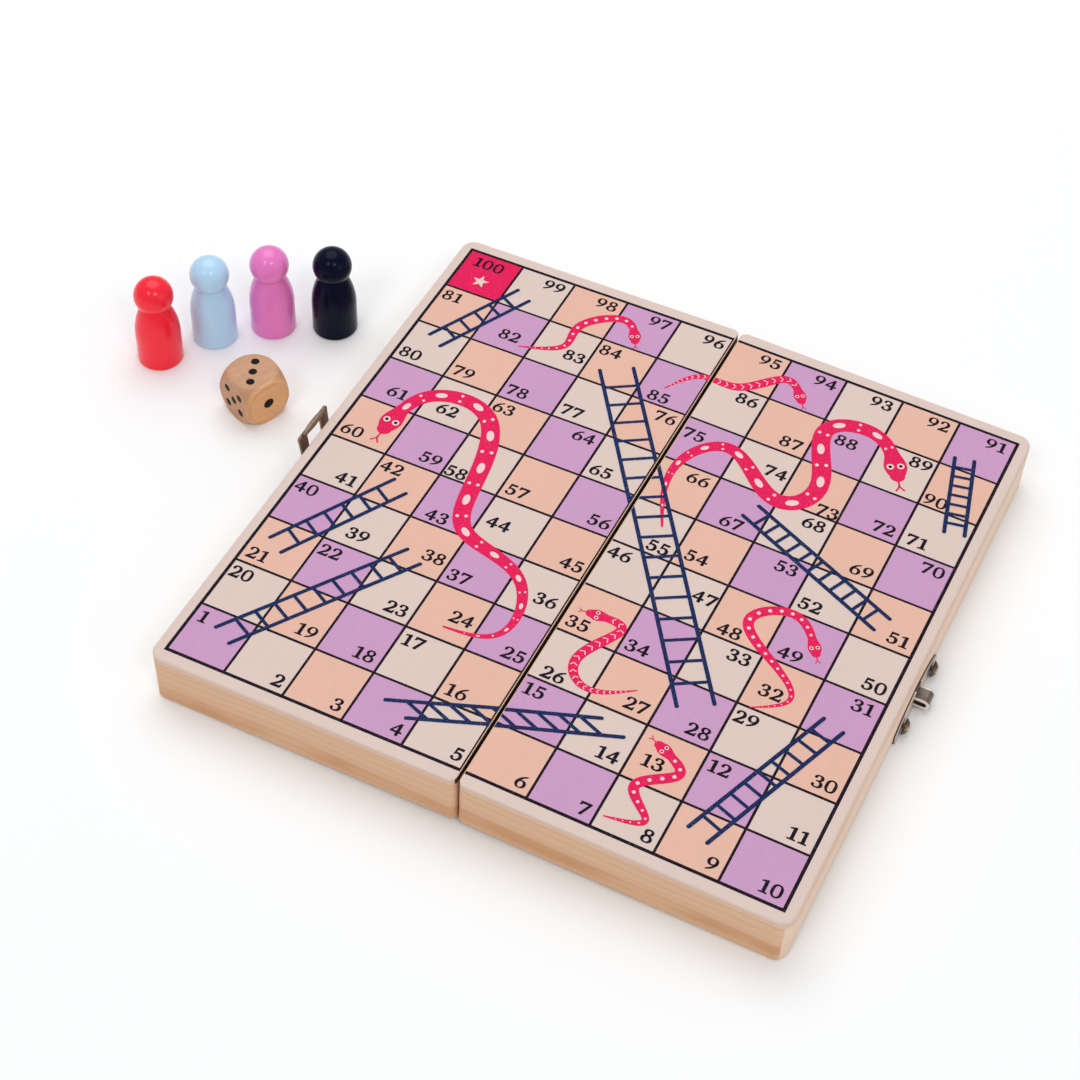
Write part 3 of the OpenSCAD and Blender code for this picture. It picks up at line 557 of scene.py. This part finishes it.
class GAMEBOARD_OT_stage(bpy.types.Operator):
    """Sets the white floor, the soft lamps and the camera"""

    bl_idname = "gameboard.stage"
    bl_label = "Set the Stage"

    FLOOR_REACH = 4.0
    FLOOR_WHITE = (0.975, 0.99, 1.0)
    # Where the floor begins and ends to fade, in millimetres from the middle
    FADE = 330, 700

    def execute(self, context):
        scene = context.scene
        stage = scene.board_stage
        self.floor(stage.shadow)
        self.surroundings(scene, stage.sky)
        self.lamp("overhead soft lamp", (-0.4, 0.475, 1.4), 1.5, stage.key_power)
        self.lamp("right soft lamp", (2.8, -0.4, 1.2), 1.6, stage.key_power * 0.4)
        for name, turn, share in (("left glint", -30, 0.8), ("right glint", 30, 1.0)):
            place = Matrix.Rotation(math.radians(turn), 3, "Z") @ EYE * 3.9
            self.lamp(name, place, 0.74, stage.glint_power * share)

        right = VIEW.cross(VIEW_UP).normalized()
        turn = Matrix((right, right.cross(VIEW), -VIEW)).transposed().to_4x4()
        lens = bpy.data.cameras.new("camera")
        lens.lens, lens.sensor_width, lens.sensor_fit = FOCAL_LENGTH, SENSOR_WIDTH, "HORIZONTAL"
        lens.clip_start, lens.clip_end = 0.01, 20
        scene.camera = added("camera", lens)
        scene.camera.matrix_world = Matrix.Translation(EYE) @ turn
        scene.view_settings.view_transform = "Standard"
        return {"FINISHED"}

    def floor(self, shadow):
        """White floor that keeps that share of the shadow, and far out fades into the surroundings."""
        bm = bmesh.new()
        bmesh.ops.create_grid(bm, x_segments=2, y_segments=2, size=self.FLOOR_REACH)
        floor = added("floor", as_mesh("floor", bm))
        f = Finish("white floor", self.FLOOR_WHITE)
        floor.data.materials.append(f.done(rough=0.9, gloss=0.0))
        kinds = ("Camera", "Glossy", "Transmission")
        ray, glossy, through = (f.node("ShaderNodeLightPath", output=f"Is {kind} Ray") for kind in kinds)
        x, y, z = f.split(f.place())
        far = ((x * x + y * y) ** 0.5).step(*self.FADE)
        share = ray.largest(glossy.largest(through)) * far.largest(1 - shadow)
        glow = f.node("ShaderNodeEmission", {"Color": (1, 1, 1), "Strength": 1.0})
        lit = Socket(f.tree, f.shader.outputs[0])
        f.plug(f.end.inputs["Surface"], f.node("ShaderNodeMixShader", {0: share, 1: lit, 2: glow}))

    def surroundings(self, scene, sky):
        """White for the camera, and of the sky's strength for everything that it lights."""
        world = bpy.data.worlds.new("white surroundings")
        world.use_nodes = True
        scene.world = world
        tree = world.node_tree
        back = tree.nodes["Background"]
        seen = Socket(tree, tree.nodes.new("ShaderNodeLightPath").outputs["Is Camera Ray"])
        back.inputs["Color"].default_value = (1, 1, 1, 1)
        tree.links.new((seen * (1 - sky) + sky).out, back.inputs["Strength"])

    def lamp(self, name, place, size, power):
        """Round soft lamp that looks at the middle of the board."""
        data = bpy.data.lights.new(name, "AREA")
        data.shape, data.size, data.energy = "DISK", size, power
        turn = (-Vector(place)).to_track_quat("-Z", "Y").to_matrix().to_4x4()
        added(name, data).matrix_world = Matrix.Translation(place) @ turn


class GAMEBOARD_OT_panels(bpy.types.Operator):
    """Makes the two plywood play panels with rounded corners and top edges"""

    bl_idname = "gameboard.panels"
    bl_label = "Play Panels"

    # Ends of a panel: where they are, the way inwards, and how round their corners and top edges are
    OUTER = HALF_REACH, -1, 4.5 * MM, 0.8 * MM
    SEAM = HALF_START, 1, 2.2 * MM, 0.25 * MM
    CORNER_STEPS, EDGE_STEPS = 12, 5

    def execute(self, context):
        for side, word in SIDE_NAMES.items():
            material = veneer_finish(side, context.scene.board_colours)
            bm = bmesh.new()
            outline = self.outline()
            rim = [bm.verts.new((*point, RAIL_H)) for point, out, edge in outline]
            edges = [bm.edges.new(pair) for pair in zip(rim, rim[1:] + rim[:1])]
            bmesh.ops.contextual_create(bm, geom=edges)
            place = {v: k for k, v in enumerate(rim)}
            for turn in [math.pi / 2 * k / self.EDGE_STEPS for k in range(self.EDGE_STEPS + 1)]:
                old = {self.spot(v): k for v, k in place.items()}
                new = bmesh.ops.extrude_edge_only(bm, edges=edges)["geom"]
                place = {v: old[self.spot(v)] for v in new if isinstance(v, bmesh.types.BMVert)}
                edges = [
                    e for e in new
                    if isinstance(e, bmesh.types.BMEdge) and all(v in place for v in e.verts)
                ]
                for v, k in place.items():
                    point, out, edge = outline[k]
                    inward = edge * (1 - math.cos(turn))
                    v.co = (*(point - out * inward), PLAY_H - edge * (1 - math.sin(turn)))
            bmesh.ops.contextual_create(bm, geom=edges)
            flip = Matrix.Scale(-1, 4, (1, 0, 0)) if side == LEFT else Matrix.Identity(4)
            piece = settled(
                f"{word}_play_panel", bm, material, f"{word}_half", "play_panel", on_half(side) @ flip
            )
            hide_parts(f"{word}_panel")
        return {"FINISHED"}

    def spot(self, vert):
        """Where a vertex is in plan, to find the one it was drawn out of."""
        return round(vert.co.x, 8), round(vert.co.y, 8)

    def outline(self):
        """Points round the right panel, each with its way outwards and the rounding of its top edge."""
        points = []
        for quarter, (panel_end, y) in enumerate(
            ((self.OUTER, 1), (self.SEAM, 1), (self.SEAM, -1), (self.OUTER, -1))
        ):
            x, inward, radius, edge = panel_end
            middle = Vector((x + inward * radius, y * (BOARD_DEPTH / 2 - radius)))
            for k in range(self.CORNER_STEPS + 1):
                turn = math.pi / 2 * (quarter + k / self.CORNER_STEPS)
                out = Vector((math.cos(turn), math.sin(turn)))
                points.append((middle + out * radius, out, edge))
        return points


class GAMEBOARD_OT_rails(bpy.types.Operator):
    """Softens the edges of the eight pine rails and gives them their grain"""

    bl_idname = "gameboard.rails"
    bl_label = "Pine Rails"

    def execute(self, context):
        colours = context.scene.board_colours
        edge = context.scene.board_sizes.wood_edge
        for side, word in SIDE_NAMES.items():
            for index, (rail, along) in enumerate(
                (("front", "x"), ("back", "x"), ("outer", "y"), ("inner", "y"))
            ):
                seed = 1.7 * index + (5.3 if side == RIGHT else 0.0)
                material = pine_finish(f"{word} {rail} pine", side, along, colours, seed)
                eased(f"{word}_{rail}_rail", edge, material, f"{word}_half", "pine")
        return {"FINISHED"}


class GAMEBOARD_OT_printing(bpy.types.Operator):
    """Inks the squares, the lines, the ladders and the snakes"""

    bl_idname = "gameboard.printing"
    bl_label = "Printed Track"

    def execute(self, context):
        colours = context.scene.board_colours
        inks = {
            "lilac_squares": ink_finish("lilac ink", colours.lilac, 1.0, 0.12),
            "peach_squares": ink_finish("peach ink", colours.peach, 1.0, 0.12),
            "grid_lines": ink_finish("black line ink", colours.black, 1.0, 0.35),
            "ladders": ink_finish("navy ink", colours.navy, 1.6, 0.5),
            "snakes": ink_finish("pink ink", colours.pink, 1.3, 0.4),
        }
        for word in SIDE_NAMES.values():
            for part, ink in inks.items():
                wear_finish(f"{word}_{part}", ink)
        wear_finish("finish_square", ink_finish("finish ink", colours.pink, 1.0, 0.25))
        return {"FINISHED"}


# Width of each figure in heights, and its outlines in hundredths: s points are smooth, c ones are corners
FIGURES = {
    "1": (0.62, [
        "c 6,0 62,0 62,6 46,10 46,100 38,100 4,90 4,83 26,86 26,10 6,6",
    ]),
    "2": (0.74, [
        "c 0,0 70,0 74,27 67,27 62,16 26,16 s 50,37 66,55 71,74 60,94 36,101 13,95 3,77 11,68 20,74 21,87 "
        "33,93 46,88 51,72 43,52 22,29 c 0,9",
    ]),
    "3": (0.74, [
        "s 5,80 13,95 36,101 59,95 67,78 59,61 c 47,54 s 65,46 73,27 63,7 35,-1 10,5 1,20 9,29 18,23 20,11 "
        "33,7 47,12 53,28 47,43 34,49 c 23,49 23,57 s 36,58 46,66 48,78 43,90 33,94 22,88 21,77 13,72",
    ]),
    "4": (0.8, [
        "c 44,0 63,0 63,25 80,25 80,37 63,37 63,100 49,100 0,35 0,25 44,25",
        "c 13,37 44,37 44,79",
    ]),
    "5": (0.74, [
        "c 15,100 66,100 64,85 24,85 22,62 s 38,65 62,57 72,34 60,8 34,-1 10,5 1,19 9,28 18,22 20,11 32,7 "
        "46,13 52,32 45,49 31,54 18,50 c 11,46",
    ]),
    "6": (0.76, [
        "c 66,100 s 38,87 13,63 2,34 12,8 38,-1 65,8 75,31 66,53 46,61 c 27,56 s 39,74 c 66,92",
        "s 20,32 25,12 39,5 52,11 57,29 51,47 40,53 26,48",
    ]),
    "7": (0.76, [
        "c 0,72 3,100 76,100 76,91 36,-1 18,2 57,85 17,85 8,72",
    ]),
    "8": (0.76, [
        "s 38,101 61,95 69,77 61,60 c 53,54 s 67,45 75,27 65,7 38,-1 11,7 1,27 9,45 c 23,54 "
        "s 15,60 7,77 15,95",
        "s 38,93 27,89 23,77 28,65 38,60 48,65 53,77 49,89",
        "s 38,48 25,42 19,27 24,12 38,6 52,12 57,27 51,42",
    ]),
    "0": (0.78, [
        "s 39,101 64,92 77,50 64,8 39,-1 14,8 1,50 14,92",
        "s 39,93 24,84 19,50 24,16 39,7 54,16 59,50 54,84",
    ]),
}
FIGURE_WIDTHS = {digit: width for digit, (width, lines) in FIGURES.items()} | {"9": FIGURES["6"][0]}
FIGURE_GAP = 0.13
STAR = [
    (radius * math.sin(k * math.pi / 5), radius * math.cos(k * math.pi / 5), "c")
    for k in range(10)
    for radius in (0.21 if k % 2 else 0.5,)
]
# Height of the star in heights of a figure, and its place
STAR_SIZE, STAR_PLACE = 1.25, (0.5, 9.33)


class GAMEBOARD_OT_numbers(bpy.types.Operator):
    """Prints the numbers 1 to 100 in their squares, and a star in the last one"""

    bl_idname = "gameboard.numbers"
    bl_label = "Numbers"

    def execute(self, context):
        colours = context.scene.board_colours
        ink = ink_finish("number ink", colours.black, 1.0, 0.25)
        pale = ink_finish("pale ink", lighter(colours.veneer, 1.05), 0.6, 0.1)
        height = context.scene.board_sizes.number_height
        figures = {
            digit: self.drawn(context, digit, [self.outline(path) for path in paths], height)
            for digit, (width, paths) in FIGURES.items()
        }
        # The 9 is the 6 turned round
        figures["9"] = figures["6"].copy()
        turn = Matrix.Rotation(math.pi, 4, "Z")
        figures["9"].transform(Matrix.Translation((FIGURE_WIDTHS["9"] * height, height, 0)) @ turn)
        for side, word in SIDE_NAMES.items():
            bm = bmesh.new()
            for number in range(1, 101):
                row, step = divmod(number - 1, 10)
                column = step if row % 2 == 0 else 9 - step
                if (column >= 5) == (side == RIGHT):
                    u, v = PLACES.get(number, FIRST_ROW if number < 10 else OTHER_ROWS)
                    self.write(bm, figures, height, str(number), board_place(column + u, row + v))
            self.print_on(context, bm, f"{word}_numbers", side, ink, "black_ink")
        bm = bmesh.new()
        bm.from_mesh(self.drawn(context, "star", [STAR], height * STAR_SIZE))
        bmesh.ops.translate(bm, vec=board_place(*STAR_PLACE), verts=bm.verts)
        self.print_on(context, bm, "finish_star", LEFT, pale, "play_panel")
        return {"FINISHED"}

    def outline(self, path):
        """Points of a written outline, each with the kind that was last named before it."""
        points = []
        for word in path.split():
            if word in "sc":
                kind = word
            else:
                x, y = (int(number) / 100 for number in word.split(","))
                points.append((x, y, kind))
        return points

    def drawn(self, context, name, lines, height):
        """Mesh of one figure with its strokes spread a little; its area is checked against its outline."""
        sizes = context.scene.board_sizes
        curve = bpy.data.curves.new(f"figure_{name}", "CURVE")
        curve.dimensions = "2D"
        curve.fill_mode = "BOTH"
        curve.resolution_u = 4
        curve.offset = sizes.number_bold
        curve.extrude = sizes.print_height / 2
        expected = 0.0
        for index, line in enumerate(lines):
            line = [(x * height, y * height, kind) for x, y, kind in line]
            pairs = list(zip(line, line[1:] + line[:1]))
            area = sum(a[0] * b[1] - b[0] * a[1] for a, b in pairs) / 2
            expected += abs(area) if index == 0 else -abs(area)
            expected += sum(math.dist(a[:2], b[:2]) for a, b in pairs) * curve.offset
            # Outer lines run one way round, and the holes in them the other way
            if (area > 0) != (index > 0):
                line = line[::-1]
            spline = curve.splines.new("BEZIER")
            spline.bezier_points.add(len(line) - 1)
            spline.use_cyclic_u = True
            for knot, (x, y, kind) in zip(spline.bezier_points, line):
                knot.co = (x, y, 0)
                knot.handle_left_type = knot.handle_right_type = "AUTO" if kind == "s" else "VECTOR"
        holder = added(curve.name, curve)
        context.view_layer.update()
        mesh = bpy.data.meshes.new_from_object(holder.evaluated_get(context.evaluated_depsgraph_get()))
        bpy.data.objects.remove(holder)
        printed = sum(face.area for face in mesh.polygons if face.normal.z > 0.9)
        if not 0.85 < printed / expected < 1.15:
            raise RuntimeError(f"figure {name} fills {printed / expected:.2f} of its outline")
        return mesh

    def write(self, bm, figures, height, digits, middle):
        """Puts a number's figures side by side about its middle."""
        start = -(sum(FIGURE_WIDTHS[digit] for digit in digits) + FIGURE_GAP * (len(digits) - 1)) / 2
        for digit in digits:
            known = len(bm.verts)
            bm.from_mesh(figures[digit])
            bm.verts.ensure_lookup_table()
            shift = middle + Vector((start * height, -height / 2, 0))
            bmesh.ops.translate(bm, vec=shift, verts=bm.verts[known:])
            start += FIGURE_WIDTHS[digit] + FIGURE_GAP

    def print_on(self, context, bm, name, side, ink, slot):
        """Lays the figures on the board, with their undersides in the panel's face."""
        rise = Matrix.Translation((0, 0, PLAY_H + context.scene.board_sizes.print_height / 2))
        settled(name, bm, ink, f"{SIDE_NAMES[side]}_half", slot, on_half(side) @ rise)


class Snake:
    """The middle line of a printed snake, with its run in metres and its half widths."""

    STEPS = 12

    def __init__(self, places, width):
        p = [board_place(u, v) for u, v in places]
        first, last = p[0] * 2 - p[1], p[-1] * 2 - p[-2]
        q = [first, *p, last]
        self.line = [
            self.blend(*q[i:i + 4], k / self.STEPS) for i in range(len(p) - 1) for k in range(self.STEPS)
        ] + [p[-1]]
        self.run = [0.0]
        for a, b in zip(self.line, self.line[1:]):
            self.run.append(self.run[-1] + (b - a).length)
        self.width = width
        self.length = self.run[-1]

    @staticmethod
    def blend(a, b, c, d, t):
        s = 1 - t
        return (
            a * s**3 + b * (4 - 6 * t * t + 3 * t**3) + c * (1 + 3 * t + 3 * t * t - 3 * t**3) + d * t**3
        ) / 6

    def at(self, run):
        """Point at that run from the nose, with the way it heads there."""
        run = max(0.0, min(run, self.length * 0.9999))
        k = max(i for i, r in enumerate(self.run) if r <= run)
        a, b = self.line[k], self.line[k + 1]
        return a.lerp(b, (run - self.run[k]) / (self.run[k + 1] - self.run[k])), (b - a).normalized()

    def along_back(self, start, stop, gap, spread):
        """Gives each mark: its middle, the ways along and to the left, and the half width there."""
        run = self.width * start
        while run < self.length * stop:
            middle, along = self.at(run)
            half = self.half(run)
            yield middle, along, left_of(along), half
            run += self.width * gap + half * spread

    def half(self, run):
        """Half of the snake's width at that run from the nose."""
        if run < self.width * 1.8:
            return self.width * self.lookup(run / self.width, HEAD_WIDTHS)
        return self.width * self.lookup(run / self.length, BODY_WIDTHS)

    @staticmethod
    def lookup(x, table):
        for (x0, y0), (x1, y1) in zip(table, table[1:]):
            if x <= x1:
                return y0 + (y1 - y0) * (x - x0) / (x1 - x0)
        return table[-1][1]


class GAMEBOARD_OT_snake_marks(bpy.types.Operator):
    """Draws the snakes' pale ovals, dots and chevrons, their eyes and their forked tongues"""

    bl_idname = "gameboard.snake_marks"
    bl_label = "Snake Marks"

    def execute(self, context):
        colours = context.scene.board_colours
        pale = ink_finish("snake mark ink", srgb(244, 206, 205), 0.6, 0.1)
        black = ink_finish("pupil ink", colours.black, 0.4)
        pink = ink_finish("tongue ink", colours.pink, 0.6, 0.2)
        snakes = [Snake(line, LARGE_WIDTH) for line in LARGE_SNAKES]
        snakes += [Snake(line, SMALL_WIDTH) for line in SMALL_SNAKES]
        for side, word in SIDE_NAMES.items():
            marks, pupils, tongues = bmesh.new(), bmesh.new(), bmesh.new()
            for index, snake in enumerate(snakes):
                self.dress(snake, index, side, marks, pupils, tongues)
            lift = on_half(side)
            body = f"{word}_half"
            settled(f"{word}_snake_marks", marks, pale, body, "play_panel", lift)
            settled(f"{word}_snake_pupils", pupils, black, body, "black_ink", lift)
            settled(f"{word}_snake_tongues", tongues, pink, body, "pink_ink", lift)
        return {"FINISHED"}

    def dress(self, snake, index, side, marks, pupils, tongues):
        """Draws what shows of one snake's marks on one side."""
        self.side = side
        w = snake.width
        nose, heading = snake.at(0)
        head, along = snake.at(w * 0.62)
        for way in (1, -1):
            eye = head + left_of(along) * way * w * 0.27
            self.disc(marks, eye, w * 0.19)
            self.disc(pupils, eye, w * 0.095, PUPIL_H)
        root = nose - heading * snake.half(0) * 0.8
        fork = root - heading * w * 0.42
        self.bar(tongues, root, fork, w * 0.1, TONGUE_H)
        for way in (1, -1):
            tip = fork - heading * w * 0.26 + left_of(heading) * way * w * 0.2
            self.bar(tongues, fork, tip, w * 0.09, TONGUE_H)
        if w == LARGE_WIDTH:
            self.large_pattern(snake, index, marks)
        elif index % 2:
            self.chevrons(snake, marks)
        else:
            self.dots(snake, marks)

    def large_pattern(self, snake, index, marks):
        """Ovals along the back, with a pair of dots or a single one between them."""
        for k, (middle, along, across, half) in enumerate(snake.along_back(1.9, 0.97, 0.5175, 1.265)):
            if k % 2 == index % 2:
                self.oval(marks, middle, along, half * 0.75, half * 0.4)
            elif half > snake.width * 0.2:
                for way in (1, -1):
                    self.disc(marks, middle + across * way * half * 0.48, half * 0.2)
            else:
                self.disc(marks, middle, half * 0.34)

    def dots(self, snake, marks):
        for middle, along, across, half in snake.along_back(2.0, 0.96, 0.3, 1.5):
            self.disc(marks, middle, half * 0.36)

    def chevrons(self, snake, marks):
        for middle, along, across, half in snake.along_back(2.0, 0.96, 0.25, 1.1):
            for way in (1, -1):
                edge = middle + across * way * half * 0.62 + along * half * 0.55
                self.bar(marks, middle, edge, snake.width * 0.085, MARK_H)

    def here(self, point):
        """Whether a mark is on this half, clear of the seam."""
        return point.x * self.side > (1.05 if self.side == LEFT else 0.55) * MM

    def disc(self, bm, middle, radius, height=MARK_H):
        self.oval(bm, middle, Vector((1, 0, 0)), radius, radius, height)

    def oval(self, bm, middle, along, long, short, height=MARK_H):
        if self.here(middle - Vector((self.side * long, 0, 0))):
            place = self.placed(middle, along, long, short, height)
            bmesh.ops.create_circle(bm, cap_ends=True, segments=20, radius=1, matrix=place)

    def bar(self, bm, a, b, width, height):
        if self.here(a) and self.here(b):
            place = self.placed((a + b) / 2, b - a, (b - a).length / 2 + width * 0.4, width / 2, height)
            bmesh.ops.create_grid(bm, x_segments=1, y_segments=1, size=1, matrix=place)

    def placed(self, middle, along, long, short, height):
        """Place of a mark of unit size, with how far it reaches along and across."""
        turn = Matrix.Rotation(math.atan2(along.y, along.x), 4, "Z")
        lift = Matrix.Translation(middle + Vector((0, 0, PLAY_H + height)))
        return lift @ turn @ Matrix.Diagonal((long, short, 1, 1))


class GAMEBOARD_OT_hinges(bpy.types.Operator):
    """Dresses the two butt hinges under the seam"""

    bl_idname = "gameboard.hinges"
    bl_label = "Hinges"

    def execute(self, context):
        colours = context.scene.board_colours
        edge = context.scene.board_sizes.metal_edge
        brass = metal_finish("hinge brass", colours.brass, 0.6, 0.72, grain=(1, 0.1, 1))
        screws = metal_finish("screw brass", colours.brass, 0.5, 0.6, tone=0.95)
        for word in SIDE_NAMES.values():
            eased(f"{word}_hinge_leaves", edge, brass, f"{word}_half", "hinge_metal")
            eased(f"{word}_hinge_screws", edge * 0.5, screws, f"{word}_half", "hinge_metal", steps=1)
        eased("hinge_pins", edge, brass, "left_half", "hinge_metal")
        return {"FINISHED"}


class GAMEBOARD_OT_latch(bpy.types.Operator):
    """Dresses the hasp, the keeper and their plates, screws and pin"""

    bl_idname = "gameboard.latch"
    bl_label = "Latch"

    def execute(self, context):
        colours = context.scene.board_colours
        edge = context.scene.board_sizes.metal_edge
        drawn = (1, 0.15, 1)
        bronze = metal_finish("hasp bronze", colours.bronze, 0.55, 0.6, rough=0.36)
        plate = metal_finish(
            "hasp plate bronze", colours.bronze, 0.5, 0.6, tone=0.95, grain=drawn, rough=0.34
        )
        # The keeper's bent edges are painted lighter as painted highlights, its plate lighter as a painted
        # reflection, and where it meets the rail it is painted near black as painted shade
        nickel = metal_finish(
            "keeper nickel", colours.nickel, 0.45, 0.45, grain=drawn, rough=0.27,
            painted_light_bands=((1, 2.2, 2.4, 5.0), (1, 2.66, 2.76, 3.0), (0, 104.55, 104.45, 0.12)),
        )
        # The screws are painted near black next to the plate as painted shade, and lighter at their outer
        # ends as a painted highlight
        screw = metal_finish(
            "screw nickel", colours.screw, 0.35, 0.3, rough=0.24, dark=0.8,
            painted_light_bands=((0, 106.3, 105.95, 0.2), (0, 106.6, 106.9, 1.7)),
        )
        eased("hasp", edge, bronze, "hasp", "hasp_metal")
        eased("hasp_plate", edge, plate, "left_half", "hasp_metal")
        eased("hasp_pin", edge * 0.7, bronze, "left_half", "hasp_metal")
        eased("hasp_plate_screws", edge * 0.6, screw, "left_half", "hasp_metal")
        eased("keeper", edge, nickel, "right_half", "keeper_metal")
        eased("keeper_screws", edge * 0.6, screw, "right_half", "keeper_metal")
        return {"FINISHED"}


class GAMEBOARD_OT_pawns(bpy.types.Operator):
    """Turns the four painted pawns"""

    bl_idname = "gameboard.pawns"
    bl_label = "Pawns"

    def execute(self, context):
        colours = context.scene.board_colours
        pawns = {
            "red": (colours.red_paint, 0.4, "red_paint"),
            "blue": (colours.blue_paint, 0.5, "light_blue_paint"),
            "pink": (colours.mauve_paint, 0.5, "pink_paint"),
            "navy": (colours.navy_paint, 0.11, "navy_paint"),
        }
        for word, (shade, gloss, slot) in pawns.items():
            low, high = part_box(f"pawn_{word}")
            foot = Vector(((low.x + high.x) / 2, (low.y + high.y) / 2, 0))
            bm = bmesh.new()
            profile = [bm.verts.new((r * MM, 0, z * MM)) for r, z in self.profile()]
            edges = [bm.edges.new(pair) for pair in zip(profile, profile[1:])]
            bmesh.ops.spin(
                bm, geom=[*profile, *edges], cent=(0, 0, 0), axis=(0, 0, 1), angle=math.tau,
                steps=context.scene.board_sizes.pawn_steps, use_merge=True,
            )
            piece = settled(
                f"{word}_pawn_turned", bm, paint_finish(f"{word} paint", shade, gloss), f"{word}_pawn", slot,
                Matrix.Translation(foot), math.radians(40),
            )
            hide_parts(f"pawn_{word}")
        return {"FINISHED"}

    def profile(self):
        """Radius and height in millimetres: foot, straight sides, arc of the shoulders, ball of the head."""
        foot, edge, shoulder, curve, head, rise = 7.8, 0.8, 11.5, 26.0, 6.75, 28.3
        points = [(0, 0), (3.5, 0), (foot - edge, 0)]
        points += [
            (foot - edge + edge * math.sin(a), edge - edge * math.cos(a))
            for a in (math.radians(d) for d in (22, 45, 68, 90))
        ]
        points += [(foot, z) for z in (4.0, 8.0)]
        points += [
            (foot - curve + math.sqrt(curve**2 - (z - shoulder) ** 2), z)
            for z in (shoulder + 0.45 * k for k in range(27))
        ]
        # The neck is where the arc of the shoulders meets the ball of the head
        apart = math.dist((foot - curve, shoulder), (0, rise))
        neck = math.acos((apart**2 + head**2 - curve**2) / (2 * apart * head))
        neck += math.atan2(shoulder - rise, foot - curve)
        turns = 26
        points += [
            (head * math.cos(a), rise + head * math.sin(a))
            for a in (neck + (math.pi / 2 - neck) * k / turns for k in range(turns))
        ]
        return points + [(0, rise + head)]


class GAMEBOARD_OT_die(bpy.types.Operator):
    """Softens the rims of the wooden die and paints its pips"""

    bl_idname = "gameboard.die"
    bl_label = "Die"

    # Radius of the ball that the cube's corners are turned to
    BALL = 11.76 * MM

    def execute(self, context):
        low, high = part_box("die")
        middle = (low + high) / 2
        wood = die_finish(middle, math.radians(66), context.scene.board_colours.die_wood)

        def on_rim(edge):
            return all((v.co - middle).length > self.BALL - 0.35 * MM for v in edge.verts)

        eased("die", 1.1 * MM, wood, "die", "die_wood", steps=6, chosen=on_rim)
        f = Finish("pip paint", srgb(14, 10, 10))
        peel = f.noise(f.place(), 1.6, 3.0)
        f.over(peel.step(0.4, 0.7) * 0.5, srgb(34, 28, 26))
        paint = f.done(rough=peel * 0.2 + 0.35, gloss=0.1, normal=f.bump(peel, 0.05 * MM, 0.5))
        wear_finish("die_pips", paint)
        return {"FINISHED"}


PIECES = (
    GAMEBOARD_OT_stage, GAMEBOARD_OT_panels, GAMEBOARD_OT_rails, GAMEBOARD_OT_printing, GAMEBOARD_OT_numbers,
    GAMEBOARD_OT_snake_marks, GAMEBOARD_OT_hinges, GAMEBOARD_OT_latch, GAMEBOARD_OT_pawns, GAMEBOARD_OT_die,
)


class GAMEBOARD_PT_sidebar(bpy.types.Panel):
    """Sidebar panel with the board's pieces, sizes and colours"""

    bl_label = "Game Board"
    bl_idname = "GAMEBOARD_PT_sidebar"
    bl_space_type = "VIEW_3D"
    bl_region_type = "UI"
    bl_category = "Game Board"

    def draw(self, context):
        for operator in PIECES:
            self.layout.operator(operator.bl_idname)
        for group in (context.scene.board_sizes, context.scene.board_colours, context.scene.board_stage):
            box = self.layout.box()
            for name in group.__annotations__:
                box.prop(group, name)


CLASSES = (BoardSizes, BoardColours, BoardStage, *PIECES, GAMEBOARD_PT_sidebar)


def register():
    for kind in CLASSES:
        bpy.utils.register_class(kind)
    bpy.types.Scene.board_sizes = PointerProperty(type=BoardSizes)
    bpy.types.Scene.board_colours = PointerProperty(type=BoardColours)
    bpy.types.Scene.board_stage = PointerProperty(type=BoardStage)


def unregister():
    for name in ("board_sizes", "board_colours", "board_stage"):
        delattr(bpy.types.Scene, name)
    for kind in reversed(CLASSES):
        bpy.utils.unregister_class(kind)


def main():
    register()
    for operator in PIECES:
        group, name = operator.bl_idname.split(".")
        getattr(getattr(bpy.ops, group), name)()


if __name__ == "__main__":
    main()
